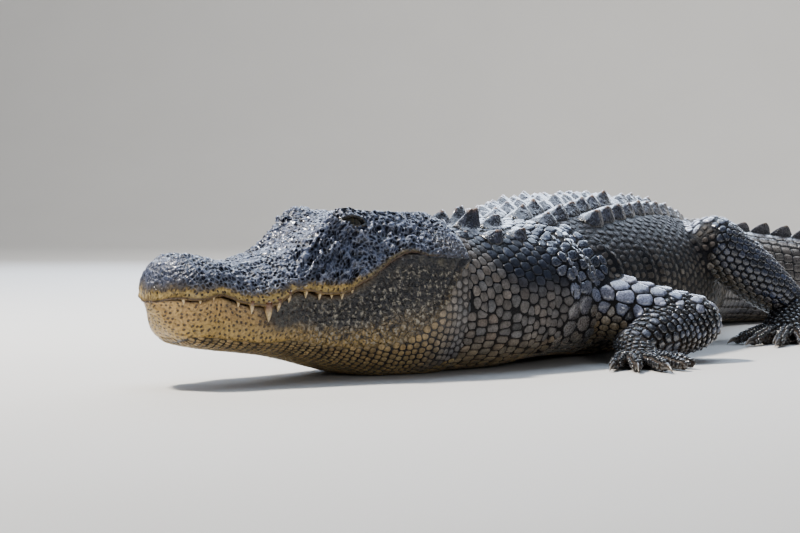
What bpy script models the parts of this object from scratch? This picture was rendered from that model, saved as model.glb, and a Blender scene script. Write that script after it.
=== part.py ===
"""An adult American alligator at rest on its belly, modelled life-size in metres.

The trunk lies along +X, with the head end at +X, the animal's left at +Y and the floor at z = 0.
The origin is on the floor under the middle of the trunk.
"""

import math

import bmesh
import bpy
import numpy as np
from mathutils import Vector

# Driving dimensions, in metres. Distances along the spine run back from the nape.
TOTAL_LENGTH = 2.80
HEAD_LENGTH = 0.38
SPINE_LENGTH = TOTAL_LENGTH - HEAD_LENGTH
NECK_END = 0.155
SHOULDER = 0.25
MID_TRUNK = 0.54
HIP = 0.86
TAIL_START = 0.98
TAIL_CUTS = (1.42, 1.90)
HEAD_TURN = -27.0
LIP_HEIGHT = 0.100
GAP = 0.0003
SINK = 0.005

# The trunk, neck and tail: (distance behind the nape, size)
HALF_WIDTH = (
    (0.00, 0.110), (0.05, 0.111), (0.12, 0.118), (0.20, 0.133), (0.32, 0.155), (0.50, 0.172),
    (0.66, 0.164), (0.78, 0.142), (0.88, 0.121), (0.98, 0.104), (1.10, 0.091), (1.35, 0.069),
    (1.65, 0.048), (1.95, 0.030), (2.20, 0.018), (2.36, 0.009), (2.42, 0.004),
)
TOP_HEIGHT = (
    (0.00, 0.180), (0.06, 0.174), (0.14, 0.177), (0.25, 0.190), (0.38, 0.202), (0.54, 0.206),
    (0.70, 0.196), (0.82, 0.180), (0.90, 0.171), (0.98, 0.165), (1.10, 0.157), (1.35, 0.130),
    (1.65, 0.098), (1.95, 0.068), (2.20, 0.045), (2.36, 0.026), (2.42, 0.012),
)
BOTTOM_HEIGHT = (
    (0.00, -0.004), (0.08, -0.003), (0.16, 0.004), (0.24, 0.002), (0.34, -0.005), (0.70, -0.005),
    (0.82, -0.001), (0.92, 0.004), (1.00, -0.002), (1.40, -0.003), (2.00, -0.003), (2.42, -0.003),
)
WIDEST_SHARE = ((0.00, 0.46), (0.30, 0.42), (0.55, 0.38), (0.90, 0.42), (1.20, 0.46), (2.42, 0.45))
TOP_FULLNESS = ((0.00, 2.3), (0.20, 2.1), (0.55, 2.25), (0.90, 2.3), (1.10, 2.8), (2.42, 2.6))
BELLY_FULLNESS = ((0.00, 2.6), (0.55, 3.0), (0.95, 2.7), (1.30, 2.5), (2.42, 2.3))
HEADING = (
    (0.00, HEAD_TURN), (0.05, 0.92 * HEAD_TURN), (0.13, 0.45 * HEAD_TURN), (0.22, 0.0), (0.88, 0.0),
    (1.00, -14.0), (1.14, -36.0), (1.32, -46.0), (1.60, -30.0), (1.90, 4.0), (2.20, 30.0),
    (2.42, 40.0),
)

# The head: (share of the head's length behind the snout tip, share of the head's length)
LIP_HALF_WIDTH = (
    (0.000, 0.034), (0.006, 0.060), (0.018, 0.086), (0.040, 0.110), (0.075, 0.130), (0.12, 0.140),
    (0.165, 0.139), (0.21, 0.150), (0.27, 0.175), (0.33, 0.187), (0.42, 0.188), (0.52, 0.194),
    (0.62, 0.210), (0.72, 0.236), (0.82, 0.262), (0.92, 0.282), (1.00, 0.288),
)
LIP_RISE = (
    (0.000, -0.012), (0.010, -0.003), (0.034, 0.000), (0.065, -0.005), (0.10, -0.004), (0.13, 0.005),
    (0.155, 0.006), (0.188, -0.003), (0.22, -0.016), (0.26, -0.024), (0.29, -0.027), (0.32, -0.022),
    (0.36, -0.004), (0.40, 0.014), (0.44, 0.014), (0.49, 0.003), (0.54, 0.001), (0.58, 0.007),
    (0.62, 0.028), (0.67, 0.052), (0.73, 0.098), (0.79, 0.122), (0.86, 0.108), (1.00, 0.100),
)
SNOUT_TOP = (
    (0.000, 0.050), (0.004, 0.062), (0.010, 0.074), (0.020, 0.088), (0.036, 0.102), (0.060, 0.112),
    (0.09, 0.117), (0.15, 0.116), (0.20, 0.105), (0.246, 0.094), (0.30, 0.096), (0.36, 0.108),
    (0.42, 0.124), (0.48, 0.146), (0.54, 0.177), (0.60, 0.205), (0.66, 0.226), (0.76, 0.239),
    (0.90, 0.241), (0.96, 0.235), (1.00, 0.216),
)
CHEEK_HALF_WIDTH = (
    (0.000, 0.036), (0.006, 0.062), (0.018, 0.088), (0.040, 0.111), (0.075, 0.129), (0.12, 0.138),
    (0.165, 0.137), (0.21, 0.146), (0.27, 0.167), (0.33, 0.176), (0.42, 0.176), (0.52, 0.183),
    (0.62, 0.199), (0.72, 0.222), (0.82, 0.244), (0.92, 0.258), (1.00, 0.268),
)
BROW_HALF_WIDTH = (
    (0.000, 0.024), (0.018, 0.064), (0.040, 0.084), (0.075, 0.098), (0.12, 0.104), (0.17, 0.108),
    (0.24, 0.118), (0.34, 0.124), (0.44, 0.127), (0.52, 0.137), (0.60, 0.158), (0.68, 0.174),
    (0.78, 0.184), (0.90, 0.194), (1.00, 0.208),
)
TABLE_HALF_WIDTH = (
    (0.000, 0.012), (0.018, 0.034), (0.040, 0.046), (0.075, 0.056), (0.12, 0.062), (0.17, 0.066),
    (0.30, 0.074), (0.44, 0.082), (0.52, 0.092), (0.60, 0.110), (0.68, 0.130), (0.78, 0.146),
    (0.88, 0.148), (1.00, 0.146),
)
JAW_DEPTH = (
    (0.000, -0.040), (0.010, -0.050), (0.020, -0.074), (0.035, -0.100), (0.060, -0.124),
    (0.10, -0.143), (0.20, -0.161), (0.30, -0.173), (0.42, -0.190), (0.54, -0.215), (0.66, -0.246),
    (0.78, -0.270), (1.00, -0.274),
)
JAW_BULGE = (
    (0.000, 0.60), (0.03, 0.77), (0.07, 0.90), (0.14, 0.98), (0.34, 1.015), (0.52, 1.03), (0.66, 1.06),
    (0.78, 1.11), (0.88, 1.12), (1.00, 1.06),
)
JAW_START = 0.010
JAW_INSET = 0.015
NOTCH_TOOTH = 0.008

# Lumps on the upper head: (distance behind the tip, distance from the midline, length, width, rise)
HEAD_LUMPS = (
    (0.100, 0.040, 0.050, 0.036, 0.008),
    (0.625, 0.114, 0.074, 0.042, 0.046),
    (0.530, 0.105, 0.050, 0.022, 0.010),
    (0.760, 0.130, 0.100, 0.022, 0.006),
)
EYE_PLACE = (0.645, 0.127, 0.203)
EYE_RADIUS = 0.0150
LID_THICKNESS = 0.0026
LID_SLIT = (0.0136, 0.0056)
LID_POINTS = 12
LID_SHARPNESS = 1.3
LID_REACH = (0.002, 0.030)
EYE_LOOK = (0.10, 0.90, 0.42)
EAR_ENDS = ((0.715, 0.184, 0.197), (0.830, 0.200, 0.178))
EAR_SIZE = (0.0045, 0.0016)
NOSTRIL_PLACE = (0.088, 0.034)
NOSTRIL_SHARE = 0.2
NOSTRIL_WAY = (0.9, 0.35)
NOSTRIL_RISE = 0.004
NOSTRIL_SIZE = (0.0085, 0.0032, 0.0055)
SLIT_DETAIL = (6, 10)

# Upper teeth that show beside the lower jaw: (distance behind the tip, length in metres)
TEETH = (
    (0.040, 0.006), (0.085, 0.004), (0.128, 0.004), (0.210, 0.006), (0.247, 0.009), (0.295, 0.016),
    (0.332, 0.009), (0.370, 0.007), (0.433, 0.007), (0.485, 0.006), (0.527, 0.005), (0.565, 0.006),
    (0.600, 0.005),
)

# Scutes
TRUNK_ROWS = 17
TRUNK_ROWS_START, TRUNK_ROWS_END = 0.215, 0.945
SHIELD_HALF_WIDTH = (
    (0.20, 0.075), (0.30, 0.112), (0.54, 0.116), (0.70, 0.112), (0.80, 0.088), (1.0, 0.066),
)
TRUNK_KEEL = ((0.20, 0.013), (0.40, 0.013), (0.70, 0.011), (0.98, 0.012))
COLUMN_WIDTH = (
    (0.20, 0.034), (0.54, 0.037), (0.70, 0.036), (0.80, 0.028), (1.00, 0.027), (1.40, 0.022),
)
# A scute's outline: (share of its half length, share of its half width)
SCUTE_OUTLINE = ((1.0, 0.34), (-0.10, 1.0), (-1.0, 0.55))
SCUTE_RISE = 0.0015
SCUTE_FILL = (0.90, 0.92)
KEEL_FRONT = (0.62, 0.35)
TRUNK_PEAK, NECK_PEAK = 0.30, 0.15
MIDDLE_COLUMNS, OUTER_FADE = 2, 0.85
# (distance behind the nape, distance from the midline, length, width, height)
NECK_SCUTES = (
    (0.030, 0.021, 0.022, 0.020, 0.008), (0.034, 0.060, 0.020, 0.018, 0.006),
    (0.074, 0.024, 0.040, 0.036, 0.020), (0.078, 0.066, 0.028, 0.026, 0.010),
    (0.118, 0.025, 0.040, 0.036, 0.022), (0.120, 0.066, 0.026, 0.026, 0.009),
)
TWIN_CREST_END = 1.78
CREST_PITCH = 0.044
CREST_FILL = 0.84
CREST_MARGIN = 0.018
CREST_HEIGHT = (
    (0.98, 0.008), (1.20, 0.013), (1.50, 0.025), (1.80, 0.036), (2.10, 0.030), (2.42, 0.010),
)
CREST_SPREAD = ((0.98, 0.036), (1.30, 0.030), (1.60, 0.018), (1.78, 0.009))
# A crest's foot: (share of its length, share of its half width), and its edge: (share, height)
CREST_FOOT = ((0.50, 0.3), (0.10, 1.0), (-0.40, 0.8), (-0.50, 0.3))
CREST_EDGE = ((0.08, 0.62), (-0.26, 1.0), (-0.46, 0.86))
CREST_LEAN = 0.3
CREST_HALF_WIDTH = (0.16, 0.002)

SKIN_DARK = (0.030, 0.033, 0.042)
SKIN_GREY = (0.105, 0.100, 0.092)
SKIN_CREAM = (0.42, 0.33, 0.17)
HORN = (0.085, 0.070, 0.060)
EYE_COLOUR = (0.10, 0.085, 0.035)


def smooth(knots, x):
    """A monotone cubic curve through the knots, read at x, which may be an array."""
    xs, ys = np.array(knots, float).T
    step = np.diff(xs)
    slope = np.diff(ys) / step
    tangent = np.empty(len(xs))
    tangent[0], tangent[-1] = slope[0], slope[-1]
    both = slope[:-1] * slope[1:]
    total = np.where(both > 0, slope[:-1] + slope[1:], 1.0)
    tangent[1:-1] = np.where(both > 0, 2 * both / total, 0.0)
    x = np.clip(x, xs[0], xs[-1])
    i = np.clip(np.searchsorted(xs, x, side="right") - 1, 0, len(step) - 1)
    t = (x - xs[i]) / step[i]
    start = (1 + 2 * t) * (1 - t) ** 2 * ys[i] + t * (1 - t) ** 2 * step[i] * tangent[i]
    end = t * t * (3 - 2 * t) * ys[i + 1] - t * t * (1 - t) * step[i] * tangent[i + 1]
    return start + end


# Shared curves and frames

SPINE_STEP = 0.005
# Steps that measure the skin's slope: metres along the spine, radians round it
SLOPE_STEP, SLOPE_TURN = 0.004, 0.02
SPINE_AT = np.arange(0.0, SPINE_LENGTH + SPINE_STEP, SPINE_STEP)


def spine_table():
    """Plan positions of the spine, with the middle of the trunk at the origin."""
    heading = np.radians(smooth(HEADING, SPINE_AT))
    back = -np.stack([np.cos(heading), np.sin(heading)], 1) * SPINE_STEP
    steps = (back[1:] + back[:-1]) / 2
    line = np.vstack([np.zeros((1, 2)), np.cumsum(steps, 0)])
    middle = [np.interp(MID_TRUNK, SPINE_AT, line[:, k]) for k in range(2)]
    return line - middle


SPINE_PLAN = spine_table()


def spine_frame(s):
    """The spine's plan point, forward direction and left direction at s, which may be an array."""
    point = np.stack([np.interp(s, SPINE_AT, SPINE_PLAN[:, k]) for k in range(2)], -1)
    heading = np.radians(smooth(HEADING, s))
    forward = np.stack([np.cos(heading), np.sin(heading)], -1)
    left = np.stack([-np.sin(heading), np.cos(heading)], -1)
    return point, forward, left


def body_skin(s, angle, grow=0.0):
    """Points of the trunk's or tail's skin. The angle is 0 on the left, 90 degrees on the back."""
    s, angle = np.broadcast_arrays(np.asarray(s, float), np.asarray(angle, float))
    point, _, left = spine_frame(s)
    top = smooth(TOP_HEIGHT, s)
    bottom = smooth(BOTTOM_HEIGHT, s)
    middle = bottom + smooth(WIDEST_SHARE, s) * (top - bottom)
    c, q = np.cos(angle), np.sin(angle)
    over = q >= 0
    power = 2.0 / np.where(over, smooth(TOP_FULLNESS, s), smooth(BELLY_FULLNESS, s))
    across = (smooth(HALF_WIDTH, s) + grow) * np.sign(c) * np.abs(c) ** power
    reach = np.where(over, top - middle, middle - bottom) + grow
    height = middle + reach * np.sign(q) * np.abs(q) ** power
    height = np.maximum(height, -grow)
    return np.concatenate([point + left * across[..., None], height[..., None]], -1)


def skin_frame(s, arc):
    """The skin's point, forward, sideways and outward directions at an arc's length from the midline."""
    angles = np.radians(np.linspace(90, -20, 111))
    half = body_skin(np.full(111, s), angles)
    run = np.concatenate([[0.0], np.cumsum(np.linalg.norm(np.diff(half, axis=0), axis=1))])
    angle = np.interp(abs(arc), run, angles)
    angle = angle if arc >= 0 else math.pi - angle
    point = body_skin(s, angle)
    ahead = body_skin(s - SLOPE_STEP, angle) - body_skin(s + SLOPE_STEP, angle)
    side = body_skin(s, angle - SLOPE_TURN) - body_skin(s, angle + SLOPE_TURN)
    forward = Vector(ahead).normalized()
    outward = forward.cross(Vector(side)).normalized()
    return Vector(point), forward, outward.cross(forward).normalized(), outward


def head_frame():
    """The nape's plan point with the head's forward and left directions."""
    return spine_frame(np.array(0.0))


def head_point(u, v, w):
    """A point of the head from shares of its length: behind the tip, to the left, above the lip."""
    nape, forward, left = head_frame()
    u, v, w = np.broadcast_arrays(*(np.asarray(k, float) for k in (u, v, w)))
    plan = nape + (forward * (1 - u)[..., None] + left * v[..., None]) * HEAD_LENGTH
    return np.concatenate([plan, (LIP_HEIGHT + w * HEAD_LENGTH)[..., None]], -1)


# Mesh helpers

SHORTEST_EDGE = 0.00002


def material(name, colour, roughness=0.5):
    made = bpy.data.materials.new(name)
    made.use_nodes = True
    shader = made.node_tree.nodes["Principled BSDF"]
    shader.inputs["Base Color"].default_value = (*colour, 1.0)
    shader.inputs["Roughness"].default_value = roughness
    made.diffuse_color = (*colour, 1.0)
    return made


def new_object(name, verts, faces, paint=None):
    """A linked mesh object with outward faces."""
    mesh = bpy.data.meshes.new(name)
    mesh.from_pydata([tuple(float(k) for k in v) for v in verts], [], faces)
    tidy = bmesh.new()
    tidy.from_mesh(mesh)
    bmesh.ops.recalc_face_normals(tidy, faces=tidy.faces)
    tidy.to_mesh(mesh)
    tidy.free()
    made = bpy.data.objects.new(name, mesh)
    bpy.context.scene.collection.objects.link(made)
    if paint is not None:
        mesh.materials.append(paint)
    return made


def loft(name, rings, paint=None):
    """A closed solid through rings of points, with a flat cap at either end."""
    rings = np.asarray(rings, float)
    count, around = rings.shape[:2]
    faces = []
    for i in range(count - 1):
        for j in range(around):
            k = (j + 1) % around
            faces.append((i * around + j, i * around + k, (i + 1) * around + k, (i + 1) * around + j))
    faces.append(tuple(range(around)))
    faces.append(tuple((count - 1) * around + j for j in reversed(range(around))))
    return new_object(name, rings.reshape(-1, 3), faces, paint)


def remove(objects):
    for item in list(objects):
        mesh = item.data
        bpy.data.objects.remove(item, do_unlink=True)
        bpy.data.meshes.remove(mesh)


def keep_largest(mesh):
    """Drops all but the largest connected surface of a mesh."""
    work = bmesh.new()
    work.from_mesh(mesh)
    left_over, best = set(work.faces), []
    while left_over:
        stack, shell = [left_over.pop()], []
        while stack:
            face = stack.pop()
            shell.append(face)
            for edge in face.edges:
                for other in edge.link_faces:
                    if other in left_over:
                        left_over.remove(other)
                        stack.append(other)
        if len(shell) > len(best):
            best = shell
    extra = list(set(work.faces) - set(best))
    bmesh.ops.delete(work, geom=extra, context="FACES")
    loose = [v for v in work.verts if not v.link_faces]
    bmesh.ops.delete(work, geom=loose, context="VERTS")
    bmesh.ops.dissolve_degenerate(work, dist=SHORTEST_EDGE, edges=work.edges)
    work.to_mesh(mesh)
    work.free()


def combine(target, others, operation, solver="EXACT"):
    """Joins closed solids to the target or cuts them from it, and clears them away."""
    group = bpy.data.collections.new("operands")
    for item in others:
        bpy.context.scene.collection.objects.unlink(item)
        group.objects.link(item)
    cut = target.modifiers.new("combine", "BOOLEAN")
    cut.operation = operation
    cut.solver = solver
    cut.operand_type = "COLLECTION"
    cut.collection = group
    graph = bpy.context.evaluated_depsgraph_get()
    graph.update()
    done = bpy.data.meshes.new_from_object(target.evaluated_get(graph))
    target.modifiers.clear()
    old = target.data
    target.data = done
    bpy.data.meshes.remove(old)
    keep_largest(done)
    remove(others)
    bpy.data.collections.remove(group)
    return target


def slice_off(target, point, normal):
    """Cuts the target at a plane, keeps what lies against the normal and closes the cut."""
    work = bmesh.new()
    work.from_mesh(target.data)
    everything = work.verts[:] + work.edges[:] + work.faces[:]
    result = bmesh.ops.bisect_plane(
        work, geom=everything, dist=1e-6, plane_co=point, plane_no=normal, clear_outer=True
    )
    rim = [item for item in result["geom_cut"] if isinstance(item, bmesh.types.BMEdge)]
    bmesh.ops.edgenet_fill(work, edges=rim)
    bmesh.ops.recalc_face_normals(work, faces=work.faces)
    work.to_mesh(target.data)
    work.free()
    return target


def smooth_shade(target, angle=40.0):
    for polygon in target.data.polygons:
        polygon.use_smooth = True
    target.data.set_sharp_from_angle(angle=math.radians(angle))


# Neck, torso and tail

BODY_AROUND = 26
NECK_SPACING, TORSO_SPACING = 0.020, 0.032
TAIL_AROUND = 20
TAIL_SPACING = 0.044


def body_rings(start, end, spacing, grow=0.0, around=BODY_AROUND):
    count = max(2, int(round((end - start) / spacing)) + 1)
    s = np.linspace(start, end, count)[:, None]
    angle = (np.arange(around) + 0.5)[None, :] * 2 * math.pi / around
    return body_skin(s, angle, grow)


def body_length(name, start, end, spacing, paint, around=BODY_AROUND):
    return loft(name, body_rings(start + GAP / 2, end - GAP / 2, spacing, 0.0, around), paint)


def scute(s, arc, length, width, height, peak=TRUNK_PEAK):
    """A keeled plate on the skin, its root sunk in. The keel is highest behind its middle."""
    at, forward, side, out = skin_frame(s, arc)
    half = length / 2
    outline = [(x * half, y * width / 2) for x, y in SCUTE_OUTLINE]
    outline += [(x, -y) for x, y in reversed(outline)]
    verts = [at + forward * x + side * y - out * SINK for x, y in outline]
    verts += [at + forward * x + side * y + out * SCUTE_RISE for x, y in outline]
    front, climb = KEEL_FRONT
    verts.append(at + forward * (front * half) + out * (SCUTE_RISE + climb * height))
    verts.append(at - forward * (peak * half) + out * height)
    n = len(outline)
    faces = [tuple(reversed(range(n)))]
    faces += [(i, (i + 1) % n, n + (i + 1) % n, n + i) for i in range(n)]
    front, top = 2 * n, 2 * n + 1
    for a, b, c in ((n, n + 1, n + 2), (n + 5, n + 4, n + 3)):
        faces += [(a, b, front), (b, top, front), (b, c, top)]
    faces += [(n, front, n + 5), (n + 2, n + 3, top)]
    return new_object("scute", verts, faces)


def trunk_scutes():
    """The shield of the back: whorls of keeled plates with their columns in line."""
    plates = []
    pitch = (TRUNK_ROWS_END - TRUNK_ROWS_START) / (TRUNK_ROWS - 1)
    long, wide = SCUTE_FILL
    for s in np.linspace(TRUNK_ROWS_START, TRUNK_ROWS_END, TRUNK_ROWS):
        width = float(smooth(COLUMN_WIDTH, s))
        height = float(smooth(TRUNK_KEEL, s))
        columns = int(float(smooth(SHIELD_HALF_WIDTH, s)) // width)
        for side in (1, -1):
            for column in range(columns):
                arc = side * (column + 0.5) * width
                fade = 1.0 if column < MIDDLE_COLUMNS else OUTER_FADE
                plates.append(scute(s, arc, long * pitch, wide * width * fade, height * fade))
    return plates


def neck_scutes():
    plates = []
    for s, arc, length, width, height in NECK_SCUTES:
        for side in (1, -1):
            plates.append(scute(s, side * arc, length, width, height, NECK_PEAK))
    return plates


def tail_scutes(start, end):
    """Two crests that draw together along the tail and go on as one to its tip."""
    plates = []
    length = CREST_FILL * CREST_PITCH
    for s in np.arange(TAIL_START + CREST_PITCH / 2, SPINE_LENGTH - CREST_MARGIN, CREST_PITCH):
        if not start + CREST_MARGIN < s < end - CREST_MARGIN:
            continue
        height = float(smooth(CREST_HEIGHT, s))
        if s < TWIN_CREST_END:
            for side in (1, -1):
                arc = side * float(smooth(CREST_SPREAD, s))
                plates.append(crest_plate(s, arc, length, height))
        else:
            plates.append(crest_plate(s, 0.0, length, height))
    return plates


def crest_plate(s, arc, length, height):
    """An upright keel of the tail, leaning back, thick at its foot."""
    at, forward, side, out = skin_frame(s, arc)
    rise = Vector((0.0, 0.0, 1.0)).lerp(out, CREST_LEAN).normalized()
    share, least = CREST_HALF_WIDTH
    wide = share * length + least
    outline = [(x * length, y * wide) for x, y in CREST_FOOT]
    outline += [(x, -y) for x, y in reversed(outline)]
    verts = [at + forward * x + side * y - rise * SINK for x, y in outline]
    n = len(outline)
    verts += [at + forward * (x * length) + rise * (z * height) for x, z in CREST_EDGE]
    low, mid, high = n, n + 1, n + 2
    faces = [tuple(reversed(range(n)))]
    faces += [(0, 1, low), (1, 2, mid), (1, mid, low), (2, 3, high), (2, high, mid)]
    faces += [(7, low, 6), (6, mid, 5), (6, low, mid), (5, high, 4), (5, mid, high)]
    faces += [(0, low, 7), (3, 4, high)]
    return new_object("crest", verts, faces)


def make_body():
    paint = material("neck_skin", SKIN_GREY)
    neck = body_length("neck", 0.0, NECK_END, NECK_SPACING, paint)
    paint = material("torso_skin", SKIN_DARK)
    torso = body_length("torso", NECK_END, TAIL_START, TORSO_SPACING, paint)
    cuts = (TAIL_START, *TAIL_CUTS, SPINE_LENGTH)
    lengths = []
    for number, (start, end) in enumerate(zip(cuts[:-1], cuts[1:]), 1):
        paint = material(f"tail_skin_{number}", SKIN_DARK)
        lengths.append(body_length(f"tail_{number}", start, end, TAIL_SPACING, paint, TAIL_AROUND))
    combine(neck, neck_scutes(), "UNION")
    combine(torso, trunk_scutes(), "UNION")
    for tail, start, end in zip(lengths, cuts[:-1], cuts[1:]):
        combine(tail, tail_scutes(start, end), "UNION")
    return [neck, torso, *lengths]


# Head

HEAD_STATIONS = np.array((
    0.0, 0.004, 0.012, 0.026, 0.046, 0.072, 0.10, 0.13, 0.16, 0.20, 0.24, 0.285, 0.325, 0.365, 0.405,
    0.45, 0.495, 0.535, 0.57, 0.60, 0.63, 0.66, 0.695, 0.735, 0.785, 0.84, 0.90, 0.955, 1.0,
))
PROFILE_SHARES = (0.0, 0.30, 0.54, 0.78, 1.0)
PROFILE_DROP, BROW_SHARE, CHEEK_SHARE = 0.03, 0.76, 0.30
LUMP_FADE = 0.35
# The lower jaw's side: (share along it, share of its half width), then (share, share of its depth)
JAW_SIDE = ((0.62, 0.80), (0.82, 0.42), (1.0, 0.0))
JAW_DROP = ((0.0, 0.0), (0.30, 0.40), (0.62, 0.84), (0.82, 0.98), (1.0, 1.0))
HEAD_SIDE_POINTS = 12
JAW_SIDE_POINTS = 9


def head_half(u, share):
    """Shares (v, w) of the upper head's side: share 0 is the midline of the top, 1 is the lip."""
    top, lip = float(smooth(SNOUT_TOP, u)), float(smooth(LIP_RISE, u))
    tall = top - lip
    across = [0.0] + [float(smooth(table, u)) for table in (
        TABLE_HALF_WIDTH, BROW_HALF_WIDTH, CHEEK_HALF_WIDTH, LIP_HALF_WIDTH)]
    heights = [top, top - PROFILE_DROP * tall, lip + BROW_SHARE * tall, lip + CHEEK_SHARE * tall, lip]
    v = smooth(list(zip(PROFILE_SHARES, across)), share)
    w = smooth(list(zip(PROFILE_SHARES, heights)), share)
    fade = np.clip((1.0 - share) / LUMP_FADE, 0.0, 1.0)
    for at, aside, length, width, rise in HEAD_LUMPS:
        bump = np.exp(-((u - at) / length) ** 2 - ((v - aside) / width) ** 2)
        w = w + rise * bump * fade
    return v, w


def make_head(paint):
    share = np.linspace(0.0, 1.0, HEAD_SIDE_POINTS)
    rings = []
    for u in HEAD_STATIONS:
        v, w = head_half(u, share)
        left = head_point(u, v, w)
        right = head_point(u, -v, w)
        rings.append(np.vstack([left[::-1], right[1:]]))
    rings[-1] -= np.append(head_frame()[1] * -GAP / 2, 0.0)
    return loft("head", rings, paint)


def jaw_half(u, share):
    """Shares (v, w) of the lower jaw's side: share 0 is the lip, 1 is the midline of its underside."""
    lip = float(smooth(LIP_RISE, u)) - GAP / HEAD_LENGTH
    depth = lip - float(smooth(JAW_DEPTH, u))
    edge = float(smooth(LIP_HALF_WIDTH, u)) - JAW_INSET
    wide = edge * float(smooth(JAW_BULGE, u))
    side = [(at, size * wide) for at, size in JAW_SIDE]
    v = smooth([(0.0, edge), (JAW_DROP[1][0], wide), *side], share)
    w = lip - depth * smooth(JAW_DROP, share)
    return v, np.maximum(w, -LIP_HEIGHT / HEAD_LENGTH)


def make_jaw(paint):
    share = np.linspace(0.0, 1.0, JAW_SIDE_POINTS)
    rings = []
    for u in HEAD_STATIONS[HEAD_STATIONS >= JAW_START]:
        v, w = jaw_half(u, share)
        left = head_point(u, v, w)
        right = head_point(u, -v, w)
        rings.append(np.vstack([left, right[::-1][1:]]))
    rings[-1] -= np.append(head_frame()[1] * -GAP / 2, 0.0)
    return loft("lower_jaw", rings, paint)


# Rings of a cone: (share of its length, share of its radius), and a direction no cone points in
CONE_RINGS = ((0.0, 1.0), (0.55, 0.72))
OBLIQUE = (0.3, 0.5, 0.8)
TOOTH_RADIUS = (0.0010, 0.20)
TOOTH_ROOT, TOOTH_INNER, TOOTH_OUTER = 0.0040, 0.0032, 0.0012
TOOTH_CLEARANCE = 0.0006


def cone(name, root, tip, radius, sides=5, bulge=0.0):
    """A closed tooth or claw from its root to a point, bowed upward along its length."""
    root, tip = Vector(root), Vector(tip)
    axis = (tip - root).normalized()
    side = axis.cross(Vector(OBLIQUE)).normalized()
    other = axis.cross(side)
    verts = []
    for along, size in CONE_RINGS:
        middle = root.lerp(tip, along) + Vector((0, 0, 1)) * bulge * 4 * along * (1 - along)
        for k in range(sides):
            turn = 2 * math.pi * k / sides
            verts.append(middle + (side * math.cos(turn) + other * math.sin(turn)) * radius * size)
    verts.append(tip)
    faces = [tuple(range(sides))]
    for k in range(sides):
        m = (k + 1) % sides
        faces += [(k, m, sides + m, sides + k), (sides + k, sides + m, 2 * sides)]
    return new_object(name, verts, faces)


def teeth(grow=0.0, least=0.0):
    """Upper teeth longer than the least length, grown by a margin where they cut the lower jaw."""
    made = []
    for u, length in TEETH:
        if length < least:
            continue
        radius = TOOTH_RADIUS[0] + TOOTH_RADIUS[1] * length
        edge = float(smooth(LIP_HALF_WIDTH, u))
        lip = float(smooth(LIP_RISE, u))
        for side in (1, -1):
            inner, outer = (TOOTH_INNER + 0.5 * radius) / HEAD_LENGTH, TOOTH_OUTER / HEAD_LENGTH
            root = head_point(u, side * (edge - inner), lip + TOOTH_ROOT / HEAD_LENGTH)
            tip = head_point(u, side * (edge - outer), lip - (length + grow) / HEAD_LENGTH)
            made.append(cone("tooth", root, tip, radius + grow))
    return made


def ball(name, centre, radii, axes=None, rings=7, around=12, paint=None):
    """An ellipsoid with its pole along the third of the axes."""
    axes = axes or (Vector((1, 0, 0)), Vector((0, 1, 0)), Vector((0, 0, 1)))
    centre = Vector(centre)
    verts = [centre - axes[2] * radii[2]]
    for i in range(1, rings):
        tilt = -math.pi / 2 + math.pi * i / rings
        for k in range(around):
            turn = 2 * math.pi * k / around
            flat = axes[0] * radii[0] * math.cos(turn) + axes[1] * radii[1] * math.sin(turn)
            verts.append(centre + flat * math.cos(tilt) + axes[2] * radii[2] * math.sin(tilt))
    verts.append(centre + axes[2] * radii[2])
    last = len(verts) - 1
    faces = [(0, 1 + (k + 1) % around, 1 + k) for k in range(around)]
    for i in range(rings - 2):
        for k in range(around):
            a, b = 1 + i * around + k, 1 + i * around + (k + 1) % around
            faces.append((a, b, b + around, a + around))
    faces += [(last, last - around + k, last - around + (k + 1) % around) for k in range(around)]
    return new_object(name, verts, faces, paint)


def eye_axes(side):
    """Directions at an eye: along the lids, across them and out of the head."""
    _, forward, left = head_frame()
    ahead, beside = Vector((*forward, 0.0)), Vector((*(left * side), 0.0))
    look = (ahead * EYE_LOOK[0] + beside * EYE_LOOK[1] + Vector((0, 0, EYE_LOOK[2]))).normalized()
    along = look.cross(Vector((0, 0, 1))).normalized()
    return along, look.cross(along).normalized(), look


def eye_centre(side):
    u, v, w = EYE_PLACE
    return Vector(head_point(u, side * v, w))


def lid_opening(side):
    """A slit shaped like an almond, cut out from the middle of the eye."""
    along, across, look = eye_axes(side)
    centre = eye_centre(side)
    outline = []
    for k in range(LID_POINTS):
        turn = 2 * math.pi * k / LID_POINTS
        x, y = math.cos(turn), math.sin(turn)
        y = math.copysign(abs(y) ** LID_SHARPNESS, y)
        outline.append(along * (x * LID_SLIT[0]) + across * (y * LID_SLIT[1]))
    rings = [[centre + look * reach + point for point in outline] for reach in LID_REACH]
    return loft("slit", rings)


def ear_slit(side):
    start, end = (Vector(head_point(u, side * v, w)) for u, v, w in EAR_ENDS)
    along = (end - start).normalized()
    out = Vector((0, 0, 1)).cross(along).normalized()
    size = ((end - start).length / 2, *EAR_SIZE)
    return ball("slit", (start + end) / 2, size, (along, out, along.cross(out)), *SLIT_DETAIL)


def nostril(side):
    _, forward, left = head_frame()
    u, v = NOSTRIL_PLACE
    _, w = head_half(u, np.array([NOSTRIL_SHARE]))
    way = forward * NOSTRIL_WAY[0] + left * side * NOSTRIL_WAY[1]
    ahead = Vector((*way, 0.0)).normalized()
    up = Vector((0, 0, 1))
    at = head_point(u, side * v, float(w[0]) + NOSTRIL_RISE)
    return ball("slit", at, NOSTRIL_SIZE, (ahead, up.cross(ahead), up), *SLIT_DETAIL)


def make_eye(side, name, paint, grow=0.0):
    along, across, look = eye_axes(side)
    radius = EYE_RADIUS + grow
    return ball(name, eye_centre(side), (radius,) * 3, (along, across, look), 7, 12, paint)


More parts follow.
